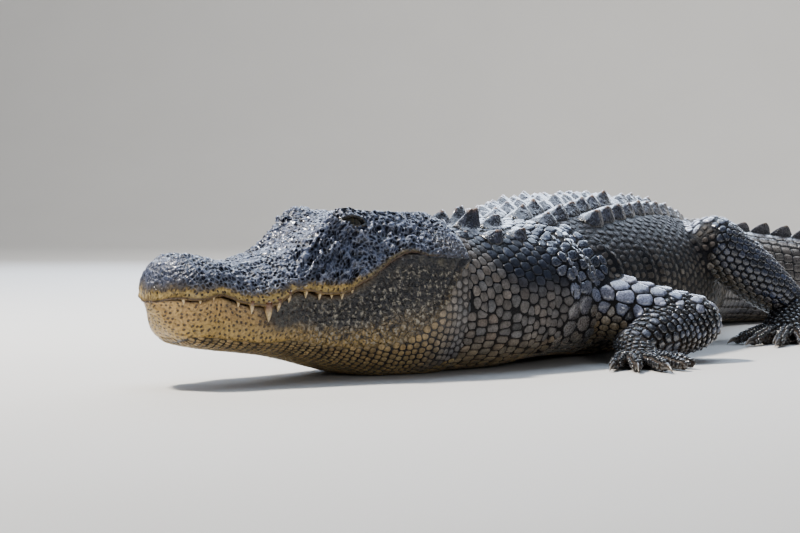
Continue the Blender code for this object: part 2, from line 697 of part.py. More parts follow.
def make_skull():
    head = make_head(material("head_skin", SKIN_DARK, 0.35))
    jaw = make_jaw(material("jaw_skin", SKIN_CREAM))
    eyes = []
    for side, name in ((1, "eye_left"), (-1, "eye_right")):
        combine(head, [make_eye(side, "lid", None, LID_THICKNESS)], "UNION")
        combine(head, [lid_opening(side)], "DIFFERENCE")
        combine(head, [make_eye(side, "socket", None, GAP)], "DIFFERENCE")
        eyes.append(make_eye(side, name, material(name + "_horn", EYE_COLOUR, 0.08)))
    combine(head, [nostril(1), nostril(-1), ear_slit(1), ear_slit(-1)], "DIFFERENCE")
    combine(jaw, teeth(TOOTH_CLEARANCE, NOTCH_TOOTH), "DIFFERENCE")
    combine(head, teeth(), "UNION")
    return [head, jaw, *eyes]


# Legs

# Joints in metres: shoulder or hip, elbow or knee, wrist or ankle
FRONT_JOINTS = {
    "left": ((0.315, 0.085, 0.076), (0.250, 0.228, 0.048), (0.362, 0.178, 0.026)),
    "right": ((0.315, -0.085, 0.076), (0.225, -0.225, 0.052), (0.325, -0.205, 0.026)),
}
HIND_JOINTS = {
    "left": ((-0.280, 0.060, 0.100), (-0.092, 0.170, 0.141), (-0.195, 0.266, 0.043)),
    "right": ((-0.280, -0.060, 0.100), (-0.120, -0.178, 0.128), (-0.232, -0.262, 0.043)),
}
FRONT_SIZES = ((0.048, 0.044), (0.038, 0.036), (0.031, 0.029), (0.021, 0.019))
HIND_SIZES = ((0.058, 0.052), (0.039, 0.040), (0.034, 0.034), (0.026, 0.024))
HAND_HEADING = {"left": 36.0, "right": -30.0}
FOOT_HEADING = {"left": -2.0, "right": -6.0}
UPPER_SWELL, LOWER_SWELL = 1.02, 1.04
LOWER_MIDDLE, LOWER_BULK = 0.45, 0.55
ROUNDING = (70, 36)

# The palm: (share of the second digit's length, height, half-width, half-height). The heights are
# shares of the wrist's height, the half-widths shares of the shaft's half-width.
PALM = ((-0.04, 1.00, 1.10, 0.80), (0.22, 0.66, 1.25, 0.62), (0.40, 0.44, 1.30, 0.46))
# Digits from the inner side outward: (angle to the middle of the palm, length)
FINGERS = ((-32.0, 0.092), (-16.0, 0.108), (0.0, 0.116), (16.0, 0.108), (34.0, 0.090))
TOES = ((-18.0, 0.150), (-6.0, 0.172), (6.0, 0.172), (18.0, 0.150))
DIGIT_SIZES = ((0.0105, 0.0100), (0.0092, 0.0086), (0.0070, 0.0066))
DIGIT_START, DIGIT_LIFT = 0.30, 0.42
KNUCKLE, KNUCKLE_RISE = 0.55, 0.002
CLAWED_DIGITS = 3
CLAW_LENGTH, CLAW_RADIUS, CLAW_BOW = 0.020, 0.0044, 0.0024
CLAW_GAP, CLAW_TIP_HEIGHT = 0.0008, 0.0012
WEB_REACH, WEB_DIP = 0.80, 0.12
WEB_ROOT, WEB_MARGIN, WEB_THICKNESS = 0.02, 2.0, 0.0062


def limb(name, points, sizes, paint=None, around=14, rings=7, round_start=True):
    """A solid along points, each with a half-width and a half-height, rounded at its end."""
    points = np.array(points, float)
    run = np.concatenate([[0.0], np.cumsum(np.linalg.norm(np.diff(points, axis=0), axis=1))])
    sizes = np.array(sizes, float)
    t = np.linspace(0.0, run[-1], rings)
    line = np.stack([smooth(list(zip(run, points[:, k])), t) for k in range(3)], 1)
    size = np.stack([smooth(list(zip(run, sizes[:, k])), t) for k in range(2)], 1)
    tangent = np.gradient(line, axis=0)
    tangent /= np.linalg.norm(tangent, axis=1)[:, None]
    tilts = np.radians(ROUNDING)
    first = [(line[0] - tangent[0] * size[0].mean() * math.sin(a), tangent[0], size[0] * math.cos(a))
             for a in tilts if round_start]
    last = [(line[-1] + tangent[-1] * size[-1].mean() * math.sin(a), tangent[-1], size[-1] * math.cos(a))
            for a in reversed(tilts)]
    stations = first + list(zip(line, tangent, size)) + last
    turn = (np.arange(around) + 0.5) * 2 * math.pi / around
    made = []
    for middle, ahead, (wide, tall) in stations:
        across = np.cross(ahead, (0.0, 0.0, 1.0))
        across /= np.linalg.norm(across)
        up = np.cross(across, ahead)
        ring = middle + np.outer(np.cos(turn) * wide, across) + np.outer(np.sin(turn) * tall, up)
        ring[:, 2] = np.maximum(ring[:, 2], 0.0)
        made.append(ring)
    return loft(name, made, paint)


def mitre(near, joint, far):
    """The plane through a joint that halves its bend, with the normal toward the far end."""
    near, joint, far = Vector(near), Vector(joint), Vector(far)
    return ((joint - near).normalized() + (far - joint).normalized()).normalized()


def between(a, b, share):
    return tuple(np.array(a) * (1 - share) + np.array(b) * share)


def make_leg(names, joints, sizes, paints):
    """The two upper lengths of a leg: a root that meets the trunk, and a shaft to the wrist or ankle."""
    root, bend, end = joints
    path = (root, between(root, bend, 0.5), bend)
    middle = np.array(between(sizes[0], sizes[1], 0.5)) * UPPER_SWELL
    upper = limb(names[0], path, (sizes[0], middle, sizes[1]), paints[0])
    path = (bend, between(bend, end, LOWER_MIDDLE), end)
    middle = np.array(between(sizes[2], sizes[1], LOWER_BULK)) * LOWER_SWELL
    lower = limb(names[1], path, (sizes[1], middle, sizes[3]), paints[1])
    normal = mitre(root, bend, end)
    slice_off(upper, Vector(bend) - normal * GAP / 2, normal)
    slice_off(lower, Vector(bend) + normal * GAP / 2, -normal)
    for part in (upper, lower):
        trunk = loft("trunk", body_rings(NECK_END + GAP / 2, TAIL_START - GAP / 2, TORSO_SPACING, GAP))
        combine(part, [trunk], "DIFFERENCE")
    return upper, lower


def heading_vector(heading):
    return np.array((math.cos(heading), math.sin(heading), 0.0))


def make_palm(name, wrist, ahead, span, thick, paint):
    path, sizes = [], []
    for reach, rise, wide, tall in PALM:
        middle = wrist + ahead * reach * span
        path.append((middle[0], middle[1], rise * wrist[2]))
        sizes.append((wide * thick, tall * wrist[2]))
    return limb(name, path, sizes, paint, around=12, rings=5)


def digit_path(wrist, ahead, length, start):
    """Three points of a digit over the floor, from inside the palm to its end."""
    lift, droop = DIGIT_LIFT * wrist[2], DIGIT_SIZES[-1][1]
    path = []
    for reach, height in (
            (start, lift),
            (start + KNUCKLE * (length - start), 0.5 * (lift + droop) + KNUCKLE_RISE),
            (length, droop)):
        path.append(np.array((*(wrist + ahead * reach)[:2], height)))
    return path


def make_claw(name, tip, ahead):
    root = tip + ahead * (DIGIT_SIZES[-1][0] + CLAW_GAP)
    point = root + ahead * CLAW_LENGTH
    point[2] = CLAW_TIP_HEIGHT
    claw = cone(name, root, point, CLAW_RADIUS, 6, CLAW_BOW)
    claw.data.materials.append(material(f"{name}_horn", HORN, 0.25))
    return claw


def make_hand(name, claw_name, wrist, heading, digits, thick, webbed):
    """A foot flat on the floor: palm, digits and the claws of the inner three."""
    turn = math.radians(heading)
    span = digits[1][1]
    paint = material(f"{name}_skin", SKIN_DARK)
    hand = make_palm(name, wrist, heading_vector(turn), span, thick, paint)
    mirror = 1.0 if wrist[1] > 0 else -1.0
    claws = []
    for number, (fan, length) in enumerate(digits, 1):
        ahead = heading_vector(turn + mirror * math.radians(fan))
        path = digit_path(wrist, ahead, length, DIGIT_START * span)
        combine(hand, [limb("digit", path, DIGIT_SIZES, None, 7, 4, False)], "UNION")
        if number <= CLAWED_DIGITS:
            claws.append(make_claw(f"{claw_name}_{number}", path[-1], ahead))
    if webbed:
        combine(hand, [make_web(wrist, turn, mirror, digits)], "UNION")
    return hand, claws


def make_web(end, turn, mirror, digits):
    """The skin stretched between the toes, a thin fan lying on the floor."""
    outline = [(WEB_ROOT, digits[0][0] - WEB_MARGIN), (WEB_REACH * digits[0][1], digits[0][0])]
    for (fan, length), (fan_next, length_next) in zip(digits[:-1], digits[1:]):
        middle = 0.5 * (length + length_next)
        outline.append(((WEB_REACH - WEB_DIP) * middle, 0.5 * (fan + fan_next)))
        outline.append((WEB_REACH * length_next, fan_next))
    outline.append((WEB_ROOT, digits[-1][0] + WEB_MARGIN))
    rings = []
    for height in (0.0, WEB_THICKNESS):
        ring = []
        for reach, fan in outline:
            bearing = turn + mirror * math.radians(fan)
            ring.append((end[0] + reach * math.cos(bearing), end[1] + reach * math.sin(bearing), height))
        rings.append(ring)
    return loft("web", rings)


def part_at_wrist(lower, hand, joints, heading):
    """Parts the shaft of a leg from its foot at the plane that halves the bend between them."""
    bend, end = Vector(joints[1]), Vector(joints[2])
    normal = mitre(bend, end, end + Vector(heading_vector(math.radians(heading))))
    slice_off(lower, end - normal * GAP / 2, normal)
    slice_off(hand, end + normal * GAP / 2, -normal)


def make_legs():
    made = []
    for side in ("left", "right"):
        names = (f"upper_arm_{side}", f"forearm_{side}")
        paints = [material(name + "_skin", SKIN_DARK) for name in names]
        joints = FRONT_JOINTS[side]
        upper, lower = make_leg(names, joints, FRONT_SIZES, paints)
        hand, claws = make_hand(
            f"hand_{side}", f"finger_claw_{side}", np.array(joints[2]), HAND_HEADING[side], FINGERS,
            FRONT_SIZES[-1][0], False)
        part_at_wrist(lower, hand, joints, HAND_HEADING[side])
        made += [upper, lower, hand, *claws]
        names = (f"thigh_{side}", f"shank_{side}")
        paints = [material(name + "_skin", SKIN_DARK) for name in names]
        joints = HIND_JOINTS[side]
        upper, lower = make_leg(names, joints, HIND_SIZES, paints)
        foot, claws = make_hand(
            f"foot_{side}", f"toe_claw_{side}", np.array(joints[2]), FOOT_HEADING[side], TOES,
            HIND_SIZES[-1][0], True)
        part_at_wrist(lower, foot, joints, FOOT_HEADING[side])
        made += [upper, lower, foot, *claws]
    return made


def main():
    for item in list(bpy.data.objects):
        bpy.data.objects.remove(item, do_unlink=True)
    nodes = make_body() + make_skull() + make_legs()
    for node in nodes:
        smooth_shade(node)
        print(node.name, sum(len(p.vertices) - 2 for p in node.data.polygons))
    print("triangles", sum(len(p.vertices) - 2 for node in nodes for p in node.data.polygons))


main()
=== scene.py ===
# %% [markdown]
# An adult American alligator rests on its belly with its jaws shut.
# The construction model is loaded first and never moves. Everything made here is laid over it:
# one fine skin, thousands of small horny plates, the head with its lids and lips, and the finishes.
# %% Load the fixed model
import math

import bpy
import numpy as np
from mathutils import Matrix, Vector, kdtree, noise
from mathutils.bvhtree import BVHTree


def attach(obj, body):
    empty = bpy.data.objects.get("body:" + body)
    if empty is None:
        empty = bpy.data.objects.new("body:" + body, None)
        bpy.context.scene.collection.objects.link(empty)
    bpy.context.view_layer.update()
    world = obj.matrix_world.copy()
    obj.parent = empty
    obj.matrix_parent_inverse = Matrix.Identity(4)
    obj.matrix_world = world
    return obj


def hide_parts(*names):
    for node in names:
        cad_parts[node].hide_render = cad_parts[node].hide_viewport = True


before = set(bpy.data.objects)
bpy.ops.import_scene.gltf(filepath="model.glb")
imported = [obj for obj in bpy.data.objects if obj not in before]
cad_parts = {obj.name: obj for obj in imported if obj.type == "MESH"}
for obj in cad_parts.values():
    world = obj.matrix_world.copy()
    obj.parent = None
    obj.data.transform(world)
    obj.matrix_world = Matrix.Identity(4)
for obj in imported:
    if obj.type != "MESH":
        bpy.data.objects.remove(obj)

NOISE_SEED = 1904
noise.seed_set(NOISE_SEED)
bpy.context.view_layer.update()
print("nodes in the model:", len(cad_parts))

# %% [markdown]
# The camera comes first, so that every later choice can be judged from the same place.
# It sits low, at the height of the animal's back, in front of its left cheek, with a long lens.
# The place and the lens were fitted to the picture once and are kept as plain distances.
# %% Camera
SNOUT_TIP = Vector((0.872, -0.229, 0.0))
CAMERA_AT = Vector((3.159, 0.986, 0.2266))
CAMERA_AZIMUTH = 111.8
CAMERA_DROP = 2.05
LENS = 104.6


def make_camera():
    data = bpy.data.cameras.new("camera")
    data.lens = LENS
    data.sensor_width = 36.0
    data.clip_end = 60.0
    camera = bpy.data.objects.new("camera", data)
    bpy.context.scene.collection.objects.link(camera)
    turn, drop = math.radians(CAMERA_AZIMUTH), math.radians(CAMERA_DROP)
    look = Vector((-math.sin(turn) * math.cos(drop), math.cos(turn) * math.cos(drop), -math.sin(drop)))
    camera.location = CAMERA_AT
    camera.rotation_euler = look.to_track_quat("-Z", "Y").to_euler()
    bpy.context.scene.camera = camera
    return camera


make_camera()
print("camera to snout:", round((CAMERA_AT - SNOUT_TIP).length, 2), "m")

# %% [markdown]
# The body is described by a few curves along the spine: half-width, height of the back, height
# of the belly and heading. They are the construction model's own numbers, so that the skin
# falls exactly where the solids are. A monotone cubic joins the knots without overshoot.
# %% Curves of the trunk, neck and tail
SPINE_LENGTH = 2.42
TAIL_START = 0.98
MID_TRUNK = 0.54
HEAD_TURN = -27.0
HEAD_LENGTH = 0.38
LIP_HEIGHT = 0.1
HALF_WIDTH = (
    (0.0, 0.11), (0.05, 0.111), (0.12, 0.118), (0.2, 0.133), (0.32, 0.155), (0.5, 0.172),
    (0.66, 0.164), (0.78, 0.142), (0.88, 0.121), (0.98, 0.104), (1.1, 0.091), (1.35, 0.069),
    (1.65, 0.048), (1.95, 0.03), (2.2, 0.018), (2.36, 0.009), (2.42, 0.004),
)
TOP_HEIGHT = (
    (0.0, 0.18), (0.06, 0.174), (0.14, 0.177), (0.25, 0.19), (0.38, 0.202), (0.54, 0.206),
    (0.7, 0.196), (0.82, 0.18), (0.9, 0.171), (0.98, 0.165), (1.1, 0.157), (1.35, 0.13),
    (1.65, 0.098), (1.95, 0.068), (2.2, 0.045), (2.36, 0.026), (2.42, 0.012),
)
BOTTOM_HEIGHT = (
    (0.0, -0.004), (0.08, -0.003), (0.16, 0.004), (0.24, 0.002), (0.34, -0.005), (0.7, -0.005),
    (0.82, -0.001), (0.92, 0.004), (1.0, -0.002), (1.4, -0.003), (2.0, -0.003), (2.42, -0.003),
)
WIDEST_SHARE = ((0.0, 0.46), (0.3, 0.42), (0.55, 0.38), (0.9, 0.42), (1.2, 0.46), (2.42, 0.45))
TOP_FULLNESS = ((0.0, 2.3), (0.2, 2.1), (0.55, 2.25), (0.9, 2.3), (1.1, 2.8), (2.42, 2.6))
BELLY_FULLNESS = ((0.0, 2.6), (0.55, 3.0), (0.95, 2.7), (1.3, 2.5), (2.42, 2.3))
HEADING = (
    (0.0, HEAD_TURN), (0.05, 0.92 * HEAD_TURN), (0.13, 0.45 * HEAD_TURN), (0.22, 0.0), (0.88, 0.0),
    (1.0, -14.0), (1.14, -36.0), (1.32, -46.0), (1.6, -30.0), (1.9, 4.0), (2.2, 30.0),
    (2.42, 40.0),
)
SPINE_STEP = 0.005
SPINE_AT = np.arange(0.0, SPINE_LENGTH + SPINE_STEP, SPINE_STEP)


def smooth(knots, x):
    """A monotone cubic curve through the knots, read at x."""
    xs, ys = np.array(knots, float).T
    step = np.diff(xs)
    slope = np.diff(ys) / step
    tangent = np.empty(len(xs))
    tangent[0], tangent[-1] = slope[0], slope[-1]
    both = slope[:-1] * slope[1:]
    total = np.where(both > 0, slope[:-1] + slope[1:], 1.0)
    tangent[1:-1] = np.where(both > 0, 2 * both / total, 0.0)
    x = np.clip(x, xs[0], xs[-1])
    i = np.clip(np.searchsorted(xs, x, side="right") - 1, 0, len(step) - 1)
    t = (x - xs[i]) / step[i]
    start = (1 + 2 * t) * (1 - t) ** 2 * ys[i] + t * (1 - t) ** 2 * step[i] * tangent[i]
    end = t * t * (3 - 2 * t) * ys[i + 1] - t * t * (1 - t) * step[i] * tangent[i + 1]
    return start + end


def spine_table():
    heading = np.radians(smooth(HEADING, SPINE_AT))
    back = -np.stack([np.cos(heading), np.sin(heading)], 1) * SPINE_STEP
    steps = (back[1:] + back[:-1]) / 2
    line = np.vstack([np.zeros((1, 2)), np.cumsum(steps, 0)])
    return line - [np.interp(MID_TRUNK, SPINE_AT, line[:, k]) for k in range(2)]


SPINE_PLAN = spine_table()


def spine_frame(s):
    """Plan point, forward and left directions of the spine at s behind the nape."""
    point = np.stack([np.interp(s, SPINE_AT, SPINE_PLAN[:, k]) for k in range(2)], -1)
    heading = np.radians(smooth(HEADING, s))
    forward = np.stack([np.cos(heading), np.sin(heading)], -1)
    left = np.stack([-np.sin(heading), np.cos(heading)], -1)
    return point, forward, left


def body_skin(s, angle, grow=0.0):
    """Points of the trunk or tail. The angle runs from the left (0) over the back (90 degrees)."""
    s, angle = np.broadcast_arrays(np.asarray(s, float), np.asarray(angle, float))
    point, _, left = spine_frame(s)
    top, bottom = smooth(TOP_HEIGHT, s), smooth(BOTTOM_HEIGHT, s)
    middle = bottom + smooth(WIDEST_SHARE, s) * (top - bottom)
    c, q = np.cos(angle), np.sin(angle)
    over = q >= 0
    power = 2.0 / np.where(over, smooth(TOP_FULLNESS, s), smooth(BELLY_FULLNESS, s))
    across = (smooth(HALF_WIDTH, s) + grow) * np.sign(c) * np.abs(c) ** power
    reach = np.where(over, top - middle, middle - bottom) + grow
    height = middle + reach * np.sign(q) * np.abs(q) ** power
    height = np.maximum(height, -grow)
    return np.concatenate([point + left * across[..., None], height[..., None]], -1)


def soft_step(low, high, x):
    t = np.clip((x - low) / (high - low), 0.0, 1.0)
    return t * t * (3 - 2 * t)


def window(x, rise, full, fall, gone):
    """0 up to rise, softly up to 1 at full, 1 as far as fall and softly back to 0 at gone."""
    return soft_step(rise, full, x) * (1 - soft_step(fall, gone, x))


def unit(vectors):
    """Vectors of length 1 in the same directions."""
    return vectors / np.maximum(np.linalg.norm(vectors, axis=-1, keepdims=True), 1e-12)


def run_along(line):
    """Distance from the start of a line of points to each of them."""
    return np.concatenate([[0.0], np.cumsum(np.linalg.norm(np.diff(line, axis=0), axis=1))])


def strip(s):
    """Where a place on the spine falls on the strip from 0 to 1 that is kept for baking."""
    return 0.02 + 0.96 * s / SPINE_LENGTH


print("width of the trunk:", 2 * max(w for _, w in HALF_WIDTH), "m")

# %% [markdown]
# A few short helpers turn arrays of points into meshes. A colour layer named tint holds the
# animal's markings for each point, worked out by rules further down, and the same layer is
# used on the skin and on the plates, so that both carry the same pattern.
# %% Mesh helpers


def srgb(r, g, b):
    """A colour from 0 to 255 values, as the linear numbers that Blender works in."""
    c = np.array((r, g, b)) / 255.0
    return np.where(c <= 0.04045, c / 12.92, ((c + 0.055) / 1.055) ** 2.4)


def add_colours(mesh, name, values):
    """Stores three numbers for each point as a colour layer."""
    layer = mesh.color_attributes.new(name, "FLOAT_COLOR", "POINT")
    values = values.reshape(-1, 3)
    rgba = np.concatenate([values, np.ones((len(values), 1))], 1).astype(np.float32)
    layer.data.foreach_set("color", rgba.ravel())


def build_mesh(name, verts, shape, tints=None, marks=None):
    """A linked, smooth-shaded mesh from its points and its faces' corners and starts."""
    mesh = bpy.data.meshes.new(name)
    corners, starts = shape
    mesh.vertices.add(len(verts))
    mesh.vertices.foreach_set("co", np.ascontiguousarray(verts, dtype=np.float32).ravel())
    mesh.loops.add(len(corners))
    mesh.loops.foreach_set("vertex_index", np.ascontiguousarray(corners, dtype=np.int32))
    mesh.polygons.add(len(starts))
    mesh.polygons.foreach_set("loop_start", np.ascontiguousarray(starts, dtype=np.int32))
    if tints is not None:
        add_colours(mesh, "tint", tints)
    if marks is not None:
        layer = mesh.uv_layers.new(name="OFBake")
        layer.data.foreach_set("uv", np.ascontiguousarray(marks, dtype=np.float32).ravel())
    mesh.update(calc_edges=True)
    mesh.validate()
    mesh.polygons.foreach_set("use_smooth", np.ones(len(mesh.polygons), bool))
    made = bpy.data.objects.new(name, mesh)
    bpy.context.scene.collection.objects.link(made)
    return made


def face_arrays(faces):
    """Corner and start arrays from lists of faces given as tuples."""
    corners = np.array([k for face in faces for k in face], np.int32)
    lengths = np.array([len(face) for face in faces])
    return corners, np.concatenate([[0], np.cumsum(lengths)[:-1]])


def repeat_faces(faces, count, per):
    """Corner and start arrays of many pieces with the same faces and per points each."""
    corners, starts = face_arrays(faces)
    shift = np.arange(count)[:, None]
    return (corners + shift * per).ravel(), (starts + shift * len(corners)).ravel()


def ring_quads(rows, around):
    """Quads between rings of points."""
    i, j = np.meshgrid(np.arange(rows - 1), np.arange(around), indexing="ij")
    k = (j + 1) % around
    quads = np.stack([i * around + j, i * around + k, (i + 1) * around + k, (i + 1) * around + j], -1)
    return [tuple(q) for q in quads.reshape(-1, 4).tolist()]


def tube_faces(rows, around):
    """Quads between rings of points, with a cap at either end."""
    last = (rows - 1) * around
    return ring_quads(rows, around) + [tuple(range(around))[::-1], tuple(range(last, last + around))]


def gather(parts):
    """One array of points and one list of faces from several parts of points and faces."""
    verts, faces, first = [], [], 0
    for points, its_faces in parts:
        verts.append(points)
        faces += [tuple(k + first for k in face) for face in its_faces]
        first += len(points)
    return np.vstack(verts), faces


def join_tubes(name, tubes):
    """One mesh of several closed tubes, each an array of rings."""
    verts, faces = gather((rings.reshape(-1, 3), tube_faces(*rings.shape[:2])) for rings in tubes)
    return build_mesh(name, verts, face_arrays(faces))


def remesh(thing, voxel, smoothing):
    """Welds crossing shells into one even skin and eases its folds."""
    weld = thing.modifiers.new("weld", "REMESH")
    weld.mode = "VOXEL"
    weld.voxel_size = voxel
    ease = thing.modifiers.new("ease", "SMOOTH")
    ease.factor = 0.5
    ease.iterations = smoothing
    graph = bpy.context.evaluated_depsgraph_get()
    graph.update()
    done = bpy.data.meshes.new_from_object(thing.evaluated_get(graph))
    bpy.data.objects.remove(thing)
    return done


def mesh_points(mesh, what="co"):
    """The places of a mesh's points, or their normals."""
    values = np.empty(len(mesh.vertices) * 3, np.float32)
    mesh.vertices.foreach_get(what, values)
    return values.reshape(-1, 3).astype(float)


def search_tree(points, which=None):
    """A tree that finds the nearest of the points, or of those with the numbers in which."""
    which = range(len(points)) if which is None else which
    tree = kdtree.KDTree(len(which))
    for i in which:
        tree.insert(points[i], i)
    tree.balance()
    return tree


def noise_at(points, scale):
    """Soft noise from about -1 to 1 at each point. Its features are about 1 / scale wide."""
    return np.array([noise.noise(Vector(p) * scale) for p in points])


print("faces of a tube of 3 rings of 4 points:", len(tube_faces(3, 4)))

# %% [markdown]
# Legs are tubes along two straight lengths that bend at the elbow or the knee, and end in a
# splayed foot. Each tube is given by its joints and its half-sizes, as in the solids.
# %% Curves of the legs and feet
FRONT_JOINTS = {
    "left": ((0.315, 0.085, 0.076), (0.25, 0.228, 0.048), (0.362, 0.178, 0.026)),
    "right": ((0.315, -0.085, 0.076), (0.225, -0.225, 0.052), (0.325, -0.205, 0.026)),
}
HIND_JOINTS = {
    "left": ((-0.28, 0.06, 0.1), (-0.092, 0.17, 0.141), (-0.195, 0.266, 0.043)),
    "right": ((-0.28, -0.06, 0.1), (-0.12, -0.178, 0.128), (-0.232, -0.262, 0.043)),
}
FRONT_SIZES = ((0.048, 0.044), (0.038, 0.036), (0.031, 0.029), (0.021, 0.019))
HIND_SIZES = ((0.058, 0.052), (0.039, 0.04), (0.034, 0.034), (0.026, 0.024))
HAND_HEADING = {"left": 36.0, "right": -30.0}
FOOT_HEADING = {"left": -2.0, "right": -6.0}
DIGIT_SIZES = ((0.0105, 0.01), (0.0092, 0.0086), (0.007, 0.0066))
FINGERS = ((-32.0, 0.092), (-16.0, 0.108), (0.0, 0.116), (16.0, 0.108), (34.0, 0.09))
TOES = ((-18.0, 0.15), (-6.0, 0.172), (6.0, 0.172), (18.0, 0.15))
WEB_SHARE = 0.8
CAP_TILTS = np.radians((22, 44, 62, 76))


class Tube:
    """A smooth tube through points, each with a half-width and a half-height."""

    def __init__(self, points, sizes):
        points, self.sizes = np.array(points, float), np.array(sizes, float)
        self.run, self.points = run_along(points), points
        self.length = self.run[-1]

    def line(self, t):
        return np.stack([smooth(list(zip(self.run, self.points[:, k])), t) for k in range(3)], -1)

    def size(self, t):
        return np.stack([smooth(list(zip(self.run, self.sizes[:, k])), t) for k in range(2)], -1)

    def frame(self, t):
        t = np.clip(t, 0.001, self.length - 0.001)
        ahead = unit(self.line(t + 0.001) - self.line(t - 0.001))
        across = unit(np.cross(ahead, (0.0, 0.0, 1.0)))
        return ahead, across, np.cross(across, ahead)

    def surface(self, t, angle, grow=0.0):
        """Points of the tube: angle 0 is its right side, 90 degrees its upper side."""
        t, angle = np.broadcast_arrays(np.asarray(t, float), np.asarray(angle, float))
        _, across, up = self.frame(t)
        size = self.size(t) + grow
        point = self.line(t) + across * (np.cos(angle) * size[..., 0])[..., None]
        point = point + up * (np.sin(angle) * size[..., 1])[..., None]
        point[..., 2] = np.maximum(point[..., 2], -grow)
        return point

    def rings(self, count, around, grow=0.0, round_start=True):
        """Rings for a closed skin, with round ends."""
        turn = (np.arange(around) + 0.5) * 2 * math.pi / around
        t = np.linspace(0.0, self.length, count)
        body = self.surface(t[:, None], turn[None, :], grow)
        ends = []
        for at, sign, wanted in ((0.0, -1.0, round_start), (self.length, 1.0, True)):
            ahead, _, _ = self.frame(np.array(at))
            middle, size = self.line(np.array(at)), self.size(np.array(at)).mean() + grow
            cap = []
            for tilt in CAP_TILTS:
                ring = middle + (self.surface(np.full(around, at), turn, grow) - middle) * math.cos(tilt)
                ring = ring + ahead * (sign * size * math.sin(tilt))
                ring[:, 2] = np.maximum(ring[:, 2], -grow)
                cap.append(ring)
            ends.append(np.array(cap) if wanted else np.empty((0, around, 3)))
        return np.concatenate([ends[0][::-1], body, ends[1]])


def between(a, b, share):
    return tuple(np.array(a) * (1 - share) + np.array(b) * share)


def leg_tubes(joints, sizes):
    root, bend, end = joints
    mid = (np.array(sizes[0]) + np.array(sizes[1])) / 2 * 1.02
    upper = Tube((root, between(root, bend, 0.5), bend), (sizes[0], mid, sizes[1]))
    lower_mid = (np.array(sizes[1]) * 0.55 + np.array(sizes[2]) * 0.45) * 1.04
    lower = Tube((bend, between(bend, end, 0.45), end), (sizes[1], lower_mid, sizes[3]))
    return upper, lower


def palm_tube(end, heading, digits, thick):
    turn = math.radians(heading)
    ahead = np.array((math.cos(turn), math.sin(turn), 0.0))
    span, tall = digits[1][1], end[2]
    places = [np.array(end) + ahead * reach for reach in (-0.004, 0.22 * span, 0.4 * span)]
    path = [(p[0], p[1], tall * share) for p, share in zip(places, (1.0, 0.66, 0.44))]
    shares = ((1.1, 0.8), (1.25, 0.62), (1.3, 0.46))
    return Tube(path, [(thick * wide, tall * high) for wide, high in shares])


def digit_tubes(end, heading, digits):
    """One tube for each finger or toe, from inside the palm to its end."""
    mirror = 1.0 if end[1] > 0 else -1.0
    start, lift, droop = 0.3 * digits[1][1], 0.42 * end[2], DIGIT_SIZES[2][1]
    tubes = []
    for fan, length in digits:
        bearing = math.radians(heading) + mirror * math.radians(fan)
        ahead = np.array((math.cos(bearing), math.sin(bearing)))
        reach = (start, start + 0.55 * (length - start), length)
        height = (lift, 0.5 * (lift + droop) + 0.002, droop)
        path = [(*(np.array(end[:2]) + ahead * r), z) for r, z in zip(reach, height)]
        tubes.append(Tube(path, DIGIT_SIZES))
    return tubes


def web_rings(end, heading, digits, share, grow):
    """The skin between the toes, a thin fan on the floor."""
    mirror = 1.0 if end[1] > 0 else -1.0
    outline = [(0.02, digits[0][0] - 2.0), (share * digits[0][1], digits[0][0])]
    for (fan, length), (fan_next, length_next) in zip(digits[:-1], digits[1:]):
        outline.append((0.5 * (share - 0.12) * (length + length_next), 0.5 * (fan + fan_next)))
        outline.append((share * length_next, fan_next))
    outline.append((0.02, digits[-1][0] + 2.0))
    rings = []
    for height in (0.0005, 0.0062 + grow):
        turns = [math.radians(heading) + mirror * math.radians(fan) for _, fan in outline]
        rings.append([(end[0] + r * math.cos(a), end[1] + r * math.sin(a), height)
                      for (r, _), a in zip(outline, turns)])
    return np.array(rings)


LEGS = {}
for side in ("left", "right"):
    for kind, joints, sizes, headings, digits in (
            ("front", FRONT_JOINTS, FRONT_SIZES, HAND_HEADING, FINGERS),
            ("hind", HIND_JOINTS, HIND_SIZES, FOOT_HEADING, TOES)):
        upper, lower = leg_tubes(joints[side], sizes)
        end = joints[side][2]
        LEGS[kind, side] = {
            "upper": upper, "lower": lower, "end": end, "heading": headings[side], "digits": digits,
            "palm": palm_tube(end, headings[side], digits, sizes[3][0]),
            "fingers": digit_tubes(end, headings[side], digits),
        }
print("legs:", len(LEGS), "digits:", sum(len(leg["fingers"]) for leg in LEGS.values()))

# %% [markdown]
# The skin under the plates is one welded surface. The tubes of the trunk and legs cross each
# other, so they are turned into small cubes of space and wrapped again, which is what a voxel
# remesh does, and then eased, so that shoulder and groin become soft folds. The feet are fine
# things and get smaller cubes. The skin lies a little inside the solids, by the plates' height.
# %% Base skin of the trunk, tail, legs and feet
SKIN_DEPTH = 0.0018
BODY_VOXEL = 0.0052
FOOT_VOXEL = 0.0027


def body_tube(start, end, spacing, around, depth):
    s = np.linspace(start, end, int((end - start) / spacing))[:, None]
    angle = (np.arange(around) + 0.5)[None, :] * 2 * math.pi / around
    return body_skin(s, angle, -depth)


def neck_plug(around, depth):
    """Short rings that carry the neck forward into the head."""
    base = body_skin(np.zeros(around), (np.arange(around) + 0.5) * 2 * math.pi / around, -depth)
    _, forward, _ = spine_frame(np.array(0.0))
    middle = base.mean(0)
    rings = []
    for reach, share in ((0.035, 0.7), (0.022, 0.86), (0.01, 0.95)):
        rings.append(middle + (base - middle) * share + np.append(forward * reach, 0.0))
    return np.array(rings)


